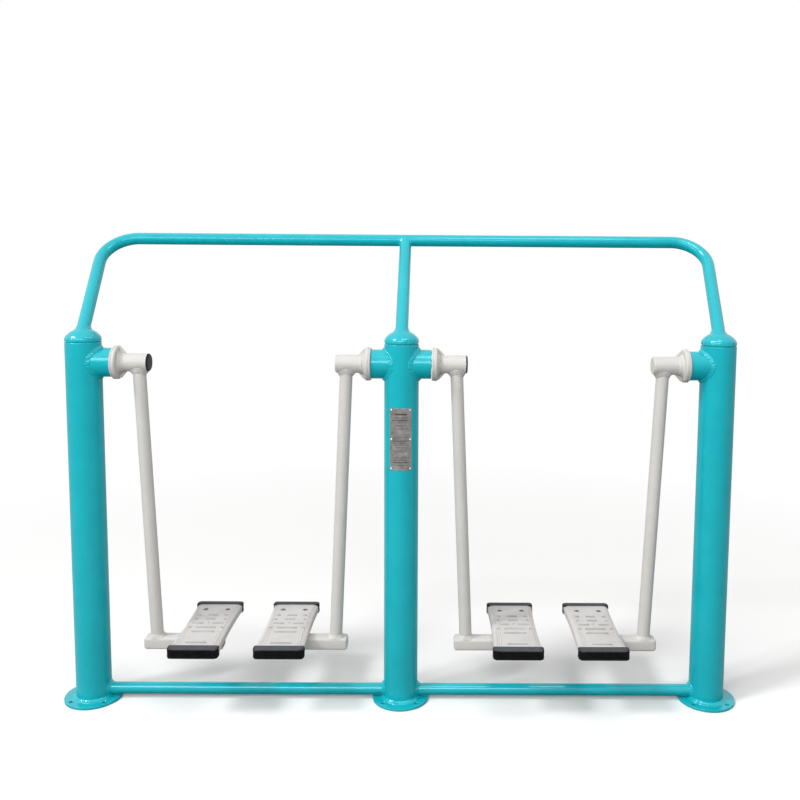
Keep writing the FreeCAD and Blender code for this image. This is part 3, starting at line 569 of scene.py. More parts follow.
FINISH = {
    "teal": (paint("teal_enamel", (0.006, 0.41, 0.48), (0.004, 0.36, 0.43), 0.17, 0.28, 0.9,
                   (0.6, 0.97, 1.0)), "teal_paint"),
    "grey": (paint("warm_grey_enamel", (0.575, 0.563, 0.54), (0.535, 0.523, 0.50), 0.36, 0.2, 0.2),
             "grey_paint"),
    # Bars darker than the plate: painted shade standing in for the shaded faces of the raised bars
    "grip": (moulded("tread_grip", (0.43, 0.43, 0.42), (0.30, 0.30, 0.295), 0.5), "tread_grey"),
    "tread": (moulded("tread_grey", (0.575, 0.555, 0.548), (0.505, 0.487, 0.480), 0.5), "tread_grey"),
    "rubber": (rubber("cap_rubber"), "cap_rubber"),
    "black": (moulded("plug_black", (0.020, 0.020, 0.021), (0.010, 0.010, 0.011), 0.5, 0.12), "plug_black"),
    "plug_grey": (moulded("plug_grey", (0.55, 0.54, 0.51), (0.50, 0.49, 0.46), 0.4), "plug_grey"),
    "bearing": (steel("bearing_steel", (0.60, 0.60, 0.60), (0.45, 0.45, 0.45), 0.25), "bearing_steel"),
    "zinc": (steel("zinc_steel", (0.55, 0.55, 0.53), (0.38, 0.38, 0.37), 0.38), "zinc_steel"),
    # Dark steel on the pedal fasteners, partly painted shade standing in for the shadow in the footplate's
    # screw recesses
    "fastener": (steel("fastener_steel_painted_shade", (0.24, 0.235, 0.23), (0.12, 0.12, 0.118), 0.5), "zinc_steel"),
    "rivet": (steel("rivet_steel", (0.72, 0.72, 0.71), (0.55, 0.55, 0.54), 0.25), "plate_metal"),
    "plate_dark": (moulded("plate_rules", (0.06, 0.05, 0.045), (0.03, 0.026, 0.022), 0.5), "plate_metal"),
    "plate": (steel("plate_metal", (0.30, 0.295, 0.285), (0.15, 0.145, 0.14), 0.36, (0.05, 0.05, 6.0)),
              "plate_metal"),
}

NODE_FINISH = {
    "post_": "teal", "base_flange_": "teal", "axle_boss_": "teal", "handrail": "teal", "lower_rail_": "teal",
    "axles": "bearing", "axle_hardware": "zinc", "bearing_rings_": "bearing",
    "name_plate": "plate", "name_plate_rivets": "zinc",
    "hub_tube_": "grey", "hub_flange_": "grey", "hub_end_plug_": "black", "swing_arm_": "grey",
    "pedal_bracket_": "grey", "pedal_carrier_": "grey", "footplate_": "tread",
    "pedal_end_caps_": "rubber", "pedal_fasteners_": "fastener",
}


def finish_cad_nodes():
    """Gives each node of the frame the finish whose key is the longest start of its name."""
    for name, node in frame["nodes"].items():
        key = max((key for key in NODE_FINISH if name.startswith(key)), key=len)
        node.data.materials.clear()
        node.data.materials.append(FINISH[NODE_FINISH[key]][0])


# Camera, floor and light

def make_camera():
    forward = Vector((-math.sin(CAMERA_YAW) * math.cos(CAMERA_PITCH),
                      math.cos(CAMERA_YAW) * math.cos(CAMERA_PITCH), -math.sin(CAMERA_PITCH)))
    level = Vector((math.cos(CAMERA_YAW), math.sin(CAMERA_YAW), 0))
    upward = level.cross(forward)
    right = level * math.cos(CAMERA_ROLL) + upward * math.sin(CAMERA_ROLL)
    top = upward * math.cos(CAMERA_ROLL) - level * math.sin(CAMERA_ROLL)
    lens = bpy.data.cameras.new("camera")
    lens.sensor_width = SENSOR_WIDTH
    lens.lens = FOCAL_PIXELS / PHOTO_WIDTH * SENSOR_WIDTH
    lens.shift_x = (PHOTO_WIDTH / 2 - CENTRE_PIXEL[0]) / PHOTO_WIDTH
    lens.shift_y = (CENTRE_PIXEL[1] - PHOTO_WIDTH / 2) / PHOTO_WIDTH
    camera = add_object("camera", lens)
    turn = Matrix((right, top, -forward)).transposed().to_4x4()
    camera.matrix_world = Matrix.Translation(CAMERA_PLACE) @ turn
    bpy.context.scene.camera = camera


def seen_directly(tree):
    """1 for rays that show the background, also mirrored or through glass; 0 for rays that light things."""
    path = tree.nodes.new("ShaderNodeLightPath")
    total = path.outputs["Is Camera Ray"]
    for name in ("Is Glossy Ray", "Is Transmission Ray"):
        total = calculate(tree, "MAXIMUM", total, path.outputs[name])
    return total


def make_world():
    world = bpy.data.worlds.new("studio")
    bpy.context.scene.world = world
    world.use_nodes = True
    tree = world.node_tree
    tree.nodes.clear()
    soft = add_node(tree, "ShaderNodeBackground", Color=(*WORLD_TONE, 1), Strength=AMBIENT)
    white = add_node(tree, "ShaderNodeBackground", Color=(1, 1, 1, 1), Strength=1.0)
    mix = mix_shaders(tree, seen_directly(tree), soft, white)
    output = tree.nodes.new("ShaderNodeOutputWorld")
    connect(tree, mix.outputs[0], output.inputs["Surface"])


def make_floor():
    """Pale floor that shows white with the object's shadow."""
    half = FLOOR_SIZE / 2
    mesh = bpy.data.meshes.new("floor")
    corners = [(-half, -half, -FLOOR_DROP), (half, -half, -FLOOR_DROP),
               (half, half, -FLOOR_DROP), (-half, half, -FLOOR_DROP)]
    mesh.from_pydata(corners, [], [(0, 1, 2, 3)])
    floor = add_object("floor", mesh)
    material = bpy.data.materials.new("floor")
    material.use_nodes = True
    tree = material.node_tree
    tree.nodes.clear()
    lit = add_node(tree, "ShaderNodeBsdfDiffuse", Color=(*FLOOR_TONE, 1))
    near = add_node(tree, "ShaderNodeBsdfDiffuse", Color=(FLOOR_SHOWN, FLOOR_SHOWN, FLOOR_SHOWN, 1))
    far = add_node(tree, "ShaderNodeEmission", Color=(1, 1, 1, 1), Strength=1.0)
    coordinates = tree.nodes.new("ShaderNodeTexCoord")
    distance = tree.nodes.new("ShaderNodeVectorMath")
    distance.operation = "LENGTH"
    connect(tree, coordinates.outputs["Object"], distance.inputs[0])
    shown = mix_shaders(tree, spread(tree, distance.outputs["Value"], 0, 1, *FLOOR_BLEND), near, far)
    mix = mix_shaders(tree, seen_directly(tree), lit, shown)
    output = tree.nodes.new("ShaderNodeOutputMaterial")
    connect(tree, mix.outputs[0], output.inputs["Surface"])
    mesh.materials.append(material)


def make_lights():
    sun = bpy.data.lights.new("key", "SUN")
    sun.energy = SUN_STRENGTH
    sun.angle = math.radians(SUN_ANGLE)
    key = add_object("key", sun)
    key.rotation_mode = "QUATERNION"
    key.rotation_quaternion = SUN_DIRECTION.to_track_quat("Z", "Y")
    for name, (power, (wide, tall), place, aim) in SOFTBOXES.items():
        area = bpy.data.lights.new(name, "AREA")
        area.shape = "RECTANGLE"
        area.size = wide
        area.size_y = tall
        area.energy = power
        lamp = add_object(name, area)
        lamp.location = place
        lamp.rotation_mode = "QUATERNION"
        lamp.rotation_quaternion = (Vector(place) - Vector(aim)).to_track_quat("Z", "Y")


# Welds

def tree_of(name):
    """Search tree of a node of the frame."""
    mesh = frame["nodes"][name].data
    return BVHTree.FromPolygons([v.co for v in mesh.vertices], [p.vertices for p in mesh.polygons])


def tube_corners(start, direction, radius, target, steps=TUBE_STEPS):
    """Where a round tube that runs along a direction meets a node: corner, and both ways off it."""
    tree = tree_of(target)
    direction = direction.normalized()
    first = direction.orthogonal().normalized()
    second = direction.cross(first)
    corners = []
    for index in range(steps):
        turn = 2 * math.pi * index / steps
        out = first * math.cos(turn) + second * math.sin(turn)
        place, normal, _, _ = tree.ray_cast(start + out * radius, direction)
        if place is None:
            continue
        along = out - normal * out.dot(normal)
        corners.append((place, -direction, along.normalized()))
    return corners, tree


def ring_corners(x, radius, height, steps=128):
    """Corner of a post that stands on its flange."""
    corners = []
    for index in range(steps):
        turn = 2 * math.pi * index / steps
        out = Vector((math.cos(turn), math.sin(turn), 0))
        corners.append((Vector((x, 0, height)) + out * radius, Vector((0, 0, 1)), out))
    return corners


def bead(name, finish, body, corners, widths, lumps, tree=None, seed=0.0, lip=WELD_LIP):
    """Weld or flare along a row of corners; widths are up the first surface and along the second."""
    steps = 12
    rings = []
    for index, (corner, up, along) in enumerate(corners):
        wide_up, wide_along = widths(corner) if callable(widths) else widths
        wobble = noise.noise(corner * 70 + Vector((seed, 0, 0)))
        toe_up = corner + up * wide_up * (1 + 0.25 * wobble)
        toe_along = corner + along * wide_along * (1 - 0.25 * wobble)
        if tree:
            toe_along = tree.find_nearest(toe_along)[0]
        out = (up + along).normalized()
        bend = corner.lerp((toe_up + toe_along) / 2, WELD_FULLNESS)
        ripple = math.cos(2 * math.pi * index / RIPPLE_STEPS + 4 * wobble)
        ring = []
        for step in range(steps + 1):
            t = step / steps
            point = toe_up * (1 - t) ** 2 + bend * 2 * t * (1 - t) + toe_along * t * t
            rough = noise.noise(corner * 190 + Vector((2 * t, seed, 0)))
            edge = min(1.0, 10 * t * (1 - t))
            rise = edge * lip + 4 * t * (1 - t) * lumps * (1 + 0.8 * ripple + rough)
            ring.append(point + out * (rise - WELD_SINK))
        ring.append(corner - out * 0.002)
        rings.append(ring)
    Shape().loft(rings, loop=True).piece(name, finish, body, sharp=75)


def rail_weld_widths(corner):
    """A lower rail's weld is wider on top, where it was easy to reach."""
    share = (corner.z - LOWER_RAIL_HEIGHT) / (2 * LOWER_RAIL_RADIUS) + 0.5
    least, up, along = RAIL_WELD
    return least + up * share, least + along * share


def make_frame_welds():
    teal = FINISH["teal"]
    flange_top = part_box("base_flange_left")[1].z
    for post in POSTS:
        x = POST_X[post]
        bead("weld_base_" + post, teal, "frame", ring_corners(x, POST_RADIUS, flange_top),
             *WELDS["base"], None, x)
    for number, (post, side) in SWINGS.items():
        start = Vector((POST_X[post] + side * BOSS_END, 0, HUB_HEIGHT))
        corners, tree = tube_corners(start, Vector((-side, 0, 0)), BOSS_RADIUS, "post_" + post, BOSS_STEPS)
        bead("weld_boss_" + str(number), teal, "frame", corners, *WELDS["boss"], tree, number)
    rails = (("left", 1, "left"), ("centre", -1, "left"), ("centre", 1, "right"), ("right", -1, "right"))
    for index, (post, side, rail) in enumerate(rails):
        start = Vector((POST_X[post] + side * 0.2, 0, LOWER_RAIL_HEIGHT))
        corners, tree = tube_corners(start, Vector((-side, 0, 0)), LOWER_RAIL_RADIUS, "post_" + post)
        bead("weld_rail_%s_%s" % (rail, post), teal, "frame", corners, rail_weld_widths, RAIL_WELD_LUMPS,
             tree, index)
    for post in POSTS:
        foot, corner = leg_line(post)
        corners, tree = tube_corners(foot.lerp(corner, 0.4), foot - corner, RAIL_RADIUS, "post_dome_" + post)
        bead("flare_leg_" + post, teal, "frame", corners, *WELDS["leg_foot"], tree, POST_X[post], FLARE_LIP)
    foot, top = leg_line("centre")
    corners, tree = tube_corners(foot.lerp(top, 0.6), top - foot, RAIL_RADIUS * 0.97, "handrail")
    bead("flare_leg_top", teal, "frame", corners, *WELDS["leg_top"], tree, 5.0, 0.0004)


def make_swing_welds(number, post, side):
    grey = FINISH["grey"]
    body = "swing_" + str(number)
    bottom, top = arm_line(number, post, side)
    corners, tree = tube_corners(bottom.lerp(top, 0.8), top - bottom, ARM_RADIUS, "hub_tube_%d" % number)
    bead("weld_arm_hub_%d" % number, grey, body, corners, *WELDS["arm_hub"], tree, number)
    corners, tree = tube_corners(bottom.lerp(top, 0.2), bottom - top, ARM_RADIUS, "pedal_bracket_%d" % number)
    bead("weld_arm_bracket_%d" % number, grey, body, corners, *WELDS["arm_bracket"], tree, number + 9)
    edge = HUB_START + HUB_FLANGE_WIDTH + CONE_LENGTH
    corners = []
    for index in range(HUB_SEGMENTS):
        turn = 2 * math.pi * index / HUB_SEGMENTS
        out = Vector((0, math.cos(turn), math.sin(turn)))
        place = Vector((POST_X[post] + side * edge, 0, HUB_HEIGHT)) + out * HUB_RADIUS
        corners.append((place, out, Vector((side, 0, 0))))
    bead("weld_cone_%d" % number, grey, body, corners, *WELDS["cone"], None, number + 20, FLARE_LIP)


# Frame pieces

def leg_line(post):
    """Axis of a handrail leg, from its foot to its upper end."""
    foot = Vector((POST_X[post], 0, DOME_TOP - LEG_FOOT_DROP))
    splay = math.copysign(RAIL_SPLAY, POST_X[post]) if post != "centre" else 0
    return foot, Vector((POST_X[post] + splay, RAIL_LEAN, RAIL_HEIGHT))


def dome_outline():
    """Skirt, knuckle and crown of a post's cap, as (radius, height)."""
    skirt_top = POST_TOP + DOME_SKIRT
    top = DOME_TOP + DOME_CROWN
    rise = top - skirt_top
    span = POST_RADIUS - DOME_KNUCKLE
    crown = (span ** 2 + rise ** 2 - DOME_KNUCKLE ** 2) / (2 * (rise - DOME_KNUCKLE))
    lean = math.degrees(math.atan2(crown - rise, span))
    outline = [(POST_RADIUS - 0.004, POST_TOP + 0.002), (POST_RADIUS - 0.002, POST_TOP),
               (POST_RADIUS + DOME_LIP, POST_TOP - 0.0003), (POST_RADIUS + DOME_LIP, POST_TOP + 0.0008)]
    outline += arc((span, skirt_top), DOME_KNUCKLE, 0, lean, 10)
    outline += arc((0, top - crown), crown, lean, 89.8, 14)[1:]
    return outline


def make_posts():
    teal = FINISH["teal"]
    for post in POSTS:
        x = POST_X[post]

        def uneven(turn, radius, height):
            spot = Vector((math.cos(turn) + x, math.sin(turn), height * 12)) * 3.1
            wander = SEAM_WANDER * noise.noise(spot * 2.2) if height < POST_TOP + 0.003 else 0
            return radius + DOME_UNEVEN * noise.noise(spot * 1.7), height + wander

        shape = upright_lathe(dome_outline(), x, POST_SEGMENTS, uneven)
        shape.piece("dome_" + post, teal, "frame", ("post_dome_" + post,))

        def wandering(turn, radius, height):
            spot = Vector((math.cos(turn) + x, math.sin(turn), 7)) * 6.5
            wander = SEAM_WANDER * 0.7 * noise.noise(spot) if height > POST_TOP - 0.02 else 0
            return radius, height + wander

        neck = POST_RADIUS - SEAM_DEPTH
        edge = POST_TOP - SEAM_HEIGHT
        outline = [(POST_RADIUS, POST_FOOT), (POST_RADIUS, POST_TOP - 0.05), (POST_RADIUS, POST_TOP - 0.012),
                   (POST_RADIUS, edge - 0.0028), (POST_RADIUS, edge - 0.0012),
                   (POST_RADIUS - 0.0005, edge - 0.0003), (POST_RADIUS - 0.0012, edge),
                   (neck, edge + 0.0004), (neck, POST_TOP + 0.0015)]
        shape = upright_lathe(outline, x, POST_SEGMENTS, wandering)
        shape.piece("post_tube_" + post, teal, "frame", ("post_" + post,))
        make_flange(post, x)


def make_flange(post, x):
    low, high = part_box("base_flange_" + post)
    outline = rounded([(FLANGE_CORE, low.z, 0), (FLANGE_RADIUS, low.z, FLANGE_EDGE / 2),
                       (FLANGE_RADIUS, high.z, FLANGE_EDGE), (FLANGE_CORE, high.z, 0)], 4)
    disc = upright_lathe(outline, x, FLANGE_SEGMENTS).bare("flange_" + post)
    cutters = []
    for turn in HOLE_TURNS:
        place = Vector((x + HOLE_CIRCLE * math.cos(math.radians(turn)),
                        HOLE_CIRCLE * math.sin(math.radians(turn)), 0))
        cutters.append(countersink(place, HOLE_RADIUS, low.z - 0.01, high.z))
    subtract(disc, cutters)
    dress(disc, FINISH["teal"], "frame", ("base_flange_" + post,))


def on_post(u, z, radius):
    """Point on the front of the centre post, u metres round from its middle."""
    turn = u / POST_RADIUS
    return Vector((radius * math.sin(turn), -radius * math.cos(turn), z))


def plate_ring(half_width, half_height, inset, corner, z, radius):
    """Rounded outline of the plate, bent round the post."""
    outline = rounded_box(half_width - inset, half_height - inset, corner, 5, 6, 12)
    return [on_post(u, z + v, radius) for u, v in outline]


def make_name_plate():
    low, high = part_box("name_plate")
    middle_z = (low.z + high.z) / 2
    half_height = (high.z - low.z) / 2
    face = -low.y
    half_width = math.asin(size("name_plate").x / 2 / face) * POST_RADIUS
    field = PLATE_FRAME + PLATE_STEP
    levels = ((0.0, -0.0012), (0.0, -0.0004), (0.0004, 0.0), (PLATE_FRAME - PLATE_STEP, 0.0),
              (PLATE_FRAME, -PLATE_RELIEF), (field, -PLATE_RELIEF))
    rings = []
    for inset, relief in levels:
        corner = max(PLATE_CORNER - inset, 0.001)
        rings.append(plate_ring(half_width, half_height, inset, corner, middle_z, face + relief))
    for step in range(1, PLATE_RINGS + 1):
        inset = field + (half_width - field) * step / PLATE_RINGS * 0.985
        rings.append(plate_ring(half_width, half_height, inset, 0.0004, middle_z, face - PLATE_RELIEF))
    Shape().loft(rings).piece("name_plate_face", FINISH["plate"], "frame", ("name_plate",))
    make_plate_rules(high.z, face)
    make_rivets(half_width - RIVET_INSET, middle_z, half_height - RIVET_INSET, face)


def make_plate_rules(plate_top, face):
    """Plain rules of different lengths, where such a plate has its print."""
    lines = Shape()
    for drop, half_line, thick in PLATE_LINES:
        up = Vector((0, 0, thick / 2))
        section = []
        for step in range(RULE_STEPS + 1):
            u = half_line * (2 * step / RULE_STEPS - 1)
            point = on_post(u, plate_top - drop, face - PLATE_RELIEF + RULE_RISE)
            inward = Vector((-point.x, -point.y, 0)).normalized() * RULE_DEPTH
            section.append([point + up, point - up, point - up + inward, point + up + inward])
        lines.loft(section)
    lines.piece("name_plate_rules", FINISH["plate_dark"], "frame")


def make_rivets(u_reach, middle_z, z_reach, face):
    """Domed rivet heads at the plate's corners and halfway up its sides."""
    profile = [(RIVET_RADIUS, -0.0005)]
    profile += [(RIVET_RADIUS * math.cos(turn), RIVET_HEIGHT * math.sin(turn)) for turn in RIVET_TURNS]
    rivets = Shape()
    for u in (-u_reach, u_reach):
        for z in (middle_z - z_reach, middle_z, middle_z + z_reach):
            base = on_post(u, z, face)
            out = Vector((base.x, base.y, 0)).normalized()
            side = Vector((-out.y, out.x, 0))
            rings = []
            for radius, height in profile:
                centre = base + out * height
                points = arc((0, 0), radius, 0, 342, 19)
                rings.append([centre + side * along + Vector((0, 0, up)) for along, up in points])
            rivets.loft(rings)
    rivets.piece("name_plate_rivet_heads", FINISH["rivet"], "frame", ("name_plate_rivets",))


# Swing pieces

def arm_line(number, post, side):
    """Axis of a swing arm, from the bracket's top to the hub's axis."""
    low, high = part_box("swing_arm_%d" % number)
    bracket_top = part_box("pedal_bracket_%d" % number)[1].z
    ends = sorted(((low.x - POST_X[post]) * side, (high.x - POST_X[post]) * side))
    run = ends[1] - ends[0] - 2 * ARM_RADIUS
    slope = run / (HUB_HEIGHT - HUB_RADIUS - bracket_top)
    lean = math.hypot(1, slope)
    foot = ends[1] - ARM_RADIUS * lean
    head = foot - slope * (HUB_HEIGHT - bracket_top)
    return (Vector((POST_X[post] + side * foot, 0, bracket_top)),
            Vector((POST_X[post] + side * head, 0, HUB_HEIGHT)))


def make_hub(number, post, side):
    across = (POST_X[post], side)
    body = "swing_" + str(number)
    grey = FINISH["grey"]
    back = HUB_START + HUB_FLANGE_WIDTH
    rim = HUB_FLANGE_RADIUS
    groove = HUB_START + HUB_GROOVE_PLACE
    outline = [(HUB_START + 0.0005, HUB_RADIUS - 0.001)]
    outline += rounded([(HUB_START, HUB_RADIUS, 0), (HUB_START, rim - HUB_FRONT_BEVEL, 0.0008),
                        (HUB_START + HUB_FRONT_BEVEL, rim, 0.0012), (groove - 0.001, rim, 0.0003),
                        (groove - 0.0003, rim - HUB_GROOVE, 0.0002),
                        (groove + 0.0003, rim - HUB_GROOVE, 0.0002),
                        (groove + 0.001, rim, 0.0003), (back - HUB_FLANGE_BEVEL, rim, 0.0012),
                        (back, rim - HUB_FLANGE_BEVEL, 0.0012), (back, HUB_RADIUS + CONE_HEIGHT, 0.0015),
                        (back + CONE_LENGTH, HUB_RADIUS + 0.001, 0.0008),
                        (back + CONE_LENGTH + 0.001, HUB_RADIUS - 0.001, 0)], 4)
    shape = hub_lathe(outline)
    for sign in (-1, 1):
        make_gusset(shape, back, rim, sign)
    shape.piece("hub_flange_ring_%d" % number, grey, body, ("hub_flange_%d" % number,), across, 32)
    make_plug(number, across, body)


def make_gusset(shape, back, rim, sign):
    """Web behind the flange, above or below the hub tube."""
    tall = rim - HUB_FLANGE_BEVEL
    outline = rounded([(back - 0.002, HUB_RADIUS - 0.003, 0), (back - 0.002, tall, 0),
                       (back + 0.004, tall, 0.0025), (back + GUSSET_LENGTH, HUB_RADIUS + 0.002, 0.0015),
                       (back + GUSSET_LENGTH, HUB_RADIUS - 0.003, 0)], 3)
    centre = (back + 0.008, HUB_RADIUS + 0.006)
    rings = []
    half = GUSSET_THICKNESS / 2
    for y, inset in ((-half, 0.12), (-half + 0.001, 0.02), (-half + 0.002, 0), (half - 0.002, 0),
                     (half - 0.001, 0.02), (half, 0.12)):
        ring = []
        for x, radius in outline:
            x = x + (centre[0] - x) * inset
            radius = radius + (centre[1] - radius) * inset
            ring.append(Vector((x, y, HUB_HEIGHT + sign * radius)))
        rings.append(ring)
    shape.loft(rings)


def make_plug(number, across, body):
    """End plug with a well rounded edge and a slightly domed face."""
    edge = HUB_RADIUS - 0.0004
    rim = edge - PLUG_ROUND
    outline = [(HUB_END - PLUG_SEAT, HUB_RADIUS - 0.003), (HUB_END - 0.0001, HUB_RADIUS - 0.003),
               (HUB_END, HUB_RADIUS - 0.0025), (HUB_END, edge)]
    for step in range(9):
        turn = math.pi / 2 * step / 8
        outline.append((HUB_END + PLUG_ROUND * math.sin(turn), rim + PLUG_ROUND * math.cos(turn)))
    for step in range(1, 9):
        share = 1 - step / 8
        outline.append((HUB_END + PLUG_ROUND + PLUG_DOME * (1 - share ** 2), rim * share + 0.0002))
    finish = FINISH["black"] if across[1] > 0 else FINISH["plug_grey"]
    hub_lathe(outline).piece("hub_plug_%d" % number, finish, body, ("hub_end_plug_%d" % number,), across)


def make_bracket(number, post, side):
    low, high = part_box("pedal_bracket_%d" % number)
    near, far = sorted(((low.x - POST_X[post]) * side, (high.x - POST_X[post]) * side))
    half = high.y
    middle_z = (low.z + high.z) / 2
    tall = (high.z - low.z) / 2

    def section(x, inset):
        corner = max(BRACKET_CORNER - inset, 0.0015)
        outline = rounded_box(half - inset, tall - inset, corner, 6)
        return [Vector((x, y, middle_z + z)) for y, z in outline]

    rings = []
    for step in range(5):
        turn = math.pi / 2 * step / 4
        reach = BRACKET_END_ROUND * (1 - math.cos(turn))
        rings.append(section(near + reach, BRACKET_END_ROUND * (1 - math.sin(turn))))
    for back, inset in ((0.0006, 0), (0, 0.0006), (0, BRACKET_WALL - 0.0004), (0.0005, BRACKET_WALL),
                        (BRACKET_VIEW, BRACKET_WALL)):
        rings.append(section(far - back, inset))
    Shape().loft(rings).piece("bracket_tube_%d" % number, FINISH["grey"], "swing_%d" % number,
                              ("pedal_bracket_%d" % number,), (POST_X[post], side), 35)


def pedal_frame(number, post, side):
    """Centre and half sizes of a footplate, with x measured outwards from its post."""
    low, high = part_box("footplate_%d" % number)
    centre_x = ((low.x + high.x) / 2 - POST_X[post]) * side
    return Vector((centre_x, (low.y + high.y) / 2, 0)), (high.x - low.x) / 2, (high.y - low.y) / 2


def waist(y, half_y):
    """How far the footplate's long side is drawn in at a place along it."""
    return WAIST_DRAW * (1 - (y / (half_y - FOOTPLATE_CORNER)) ** 2)


def footplate_ring(centre, half_x, half_y, inset, z):
    """Waisted outline with rounded corners at a height."""
    corner = max(FOOTPLATE_CORNER - inset, 0.001)
    ring = []
    for x, y in rounded_box(half_x - inset, half_y - inset, corner, 6, 1, 24):
        draw = max(0.0, waist(y, half_y)) * min(1, abs(x) / (half_x - 0.02))
        ring.append(Vector((x - math.copysign(draw, x), y, z)) + centre)
    return ring


def make_footplate(number, post, side):
    centre, half_x, half_y = pedal_frame(number, post, side)
    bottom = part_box("footplate_%d" % number)[0].z
    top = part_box("pedal_end_caps_%d" % number)[1].z - CAP_PROUD
    wide, tall = FOOTPLATE_SHOULDER
    wall = FOOTPLATE_WALL
    gap, deep = FOOTPLATE_GROOVE
    levels = ((wall + 0.012, top - wall - 0.003), (wall + 0.001, top - wall - 0.006), (wall, bottom + 0.0006),
              (wall - 0.0006, bottom), (0.0006, bottom), (0, bottom + 0.0006), (0, top - tall - 0.0022),
              (0.0006, top - tall - 0.0008), (0.0024, top - tall + 0.0004), (wide - 0.0015, top - 0.0008),
              (wide, top - 0.0006), (wide + 0.0003, top - deep), (wide + gap, top - deep),
              (wide + gap + 0.0003, top - 0.0002), (wide + gap + 0.001, top))
    rings = [footplate_ring(centre, half_x, half_y, inset, z) for inset, z in levels]
    plate = Shape().loft(rings).bare("tread_%d" % number)
    cutters = []
    for sign in (-1, 1):
        place = centre + Vector((sign * SCREW_SPACING / 2, SCREW_Y[0], 0))
        cutters.append(countersink(place, SCREW_RECESS, top - SCREW_RECESS_DEPTH, top))
    subtract(plate, cutters)
    make_grip(number, (POST_X[post], side), centre + Vector((0, 0, top)), half_x, half_y)
    seats = Shape()
    for y in SCREW_Y:
        for sign in (-1, 1):
            place = centre + Vector((sign * SCREW_SPACING / 2, y, 0))
            seats.loft([circle(place, SCREW_SEAT, bottom),
                        circle(place, SCREW_SEAT, top - SCREW_RECESS_DEPTH - 0.001)])
    extra = seats.bare("seats")
    work = bmesh.new()
    work.from_mesh(plate.data)
    work.from_mesh(extra.data)
    for vertex in work.verts:
        vertex.co.x = POST_X[post] + side * vertex.co.x
    bmesh.ops.recalc_face_normals(work, faces=work.faces)
    work.to_mesh(plate.data)
    work.free()
    bpy.data.objects.remove(extra)
    dress(plate, FINISH["tread"], "swing_%d" % number, ("footplate_%d" % number,), 30)


def make_grip(number, across, centre, half_x, half_y):
    """Bars across the tread, and studs along its sides wherever no bar is in the way."""
    bars = [(0, *RIB_HEEL)]
    for row, columns in enumerate(RIB_ROWS):
        bars += [(x, RIB_FIRST - row * RIB_PITCH, length) for x, length in columns]
    grip = Shape()
    studs = Shape()
    for x, y, length in bars:
        add_rib(grip, centre + Vector((x, y, 0)), length)
    past, radius = CENTRE_STUD
    add_stud(grip, centre + Vector((0, RIB_FIRST - 2 * RIB_PITCH + past, 0)), radius)
    for index in range(round((STUD_RANGE[1] - STUD_RANGE[0]) / STUD_PITCH) + 1):
        y = STUD_RANGE[0] + index * STUD_PITCH
        for sign in (-1, 1):
            for column, inset in enumerate(STUD_COLUMNS):
                shift = STUD_PITCH / 2 if column else 0
                spot = (sign * (half_x - waist(y, half_y) - inset), y + shift)
                if not any(over_rib(spot, bar) for bar in bars):
                    add_stud(studs, centre + Vector((*spot, 0)), STUD_RADIUS)
    body = "swing_%d" % number
    grip.piece("tread_grip_%d" % number, FINISH["grip"], body, (), across, 30)
    studs.piece("tread_studs_%d" % number, FINISH["tread"], body, (), across, 30)


def over_rib(spot, bar):
    """Whether a stud would stand on or against a bar."""
    x, y, length = bar
    room = STUD_RADIUS + 0.001
    return abs(spot[0] - x) < length / 2 + room and abs(spot[1] - y) < RIB_WIDTH / 2 + room


def add_rib(shape, place, length):
    """Raised bar with round ends and a soft top."""
    reach = length / 2 - RIB_WIDTH / 2
    rings = []
    for inset, rise in ((0, -0.0006), (0, RIB_RISE * 0.5), (RIB_EDGE * 0.3, RIB_RISE * 0.85),
                        (RIB_EDGE, RIB_RISE)):
        radius = RIB_WIDTH / 2 - inset
        points = arc((reach, 0), radius, -90, 90, 8) + arc((-reach, 0), radius, 90, 270, 8)
        rings.append([place + Vector((px, py, rise)) for px, py in points])
    shape.loft(rings)


def add_stud(shape, place, radius):
    levels = ((1, -0.0006), (1, STUD_RISE * 0.3), (0.8, STUD_RISE * 0.75), (0.45, STUD_RISE))
    shape.loft([circle(place, radius * share, rise, 10) for share, rise in levels])


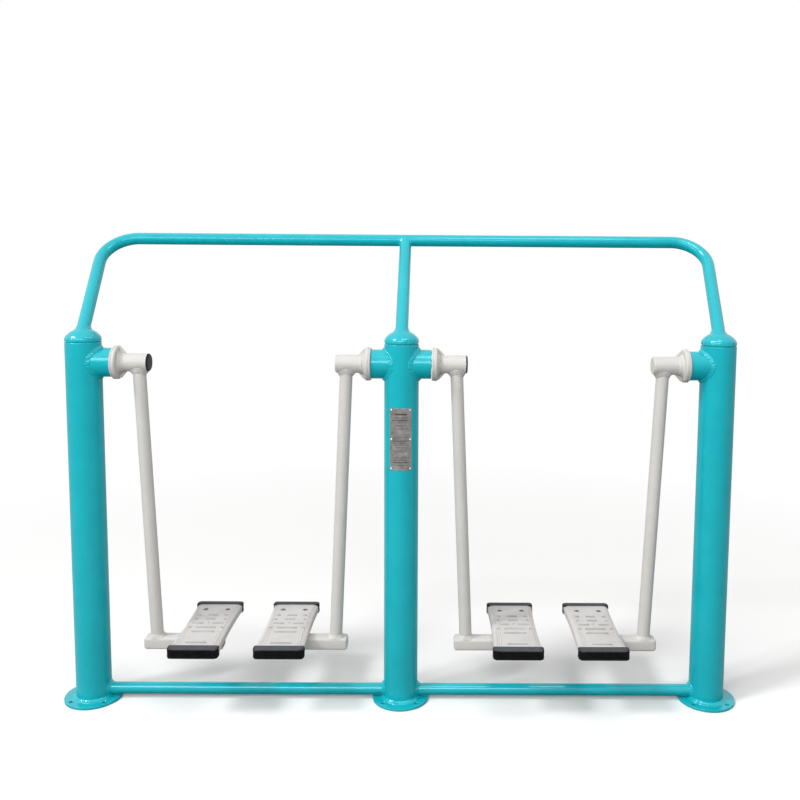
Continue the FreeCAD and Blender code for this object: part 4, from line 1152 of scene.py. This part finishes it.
def cap_ring(half_x, inner, outer, end, z, side_inset=0.0, end_inset=0.0, teeth=0.0, serration=0.0):
    """Outline of a rubber cap at a height; teeth run across its outer end."""
    x_edge = half_x - side_inset
    y_edge = outer - end_inset
    corner = CAP_CORNER - 0.5 * (side_inset + end_inset)
    ring = []
    for step in range(4):
        ring.append((-x_edge, inner + (y_edge - corner - inner) * step / 4, 0))
    ring += [(x, y, 0) for x, y in arc((-x_edge + corner, y_edge - corner), corner, 180, 90, 8)]
    span = 2 * (x_edge - corner)
    count = round(span / TOOTH_PITCH)
    pitch = span / count
    for index in range(count):
        left = -x_edge + corner + index * pitch
        for share, deep in ((0.36, 0), (0.44, 1), (0.60, 1), (0.68, 0)):
            ring.append((left + share * pitch, y_edge - deep * teeth, deep * serration))
    ring += [(x, y, 0) for x, y in arc((x_edge - corner, y_edge - corner), corner, 90, 0, 8)]
    for step in range(1, 5):
        ring.append((x_edge, y_edge - corner + (inner - y_edge + corner) * step / 4, 0))
    return [Vector((x, end * y, z + lift)) for x, y, lift in ring]


def make_caps(number, post, side):
    centre, half_x, half_y = pedal_frame(number, post, side)
    low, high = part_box("pedal_end_caps_%d" % number)
    half_x = (high.x - low.x) / 2
    outer = (high.y - low.y) / 2
    inner = half_y - CAP_COVER
    nose_run, nose_drop = CAP_NOSE
    ridge = high.z - nose_drop
    shape = Shape()
    for end in (-1, 1):
        rings = []
        for z, side_inset, end_inset, teeth, serration in (
                (low.z + 0.0004, 0.012, 0.008, 0, 0), (low.z, 0.004, 0.003, TOOTH_DEPTH, 0.0022),
                (low.z + 0.0008, 0.0012, 0.0008, TOOTH_DEPTH, 0.0024),
                (low.z + 0.0040, 0, 0, TOOTH_DEPTH, 0.0012),
                (ridge - 0.0025, 0, 0, TOOTH_DEPTH, 0), (ridge - 0.0015, 0, 0, 0, 0),
                (ridge - 0.0004, 0.0001, 0.0003, 0, 0), (ridge + 0.0006, 0.0006, 0.0014, 0, 0),
                (high.z - 0.0010, 0.0022, nose_run - 0.0025, 0, 0),
                (high.z - 0.0003, 0.0035, nose_run, 0, 0),
                (high.z, 0.0055, nose_run + 0.002, 0, 0)):
            ring = cap_ring(half_x, inner, outer, end, z, side_inset, end_inset, teeth, serration)
            rings.append([point + centre for point in ring])
        shape.loft(rings)
    shape.piece("end_caps_%d" % number, FINISH["rubber"], "swing_%d" % number,
                ("pedal_end_caps_%d" % number,), (POST_X[post], side), 35)


make_camera()
make_world()
make_floor()
make_lights()
bpy.context.scene.view_settings.view_transform = "Standard"
finish_cad_nodes()
make_posts()
make_name_plate()
make_frame_welds()
for number, (post, side) in SWINGS.items():
    make_hub(number, post, side)
    make_bracket(number, post, side)
    make_footplate(number, post, side)
    make_caps(number, post, side)
    make_swing_welds(number, post, side)
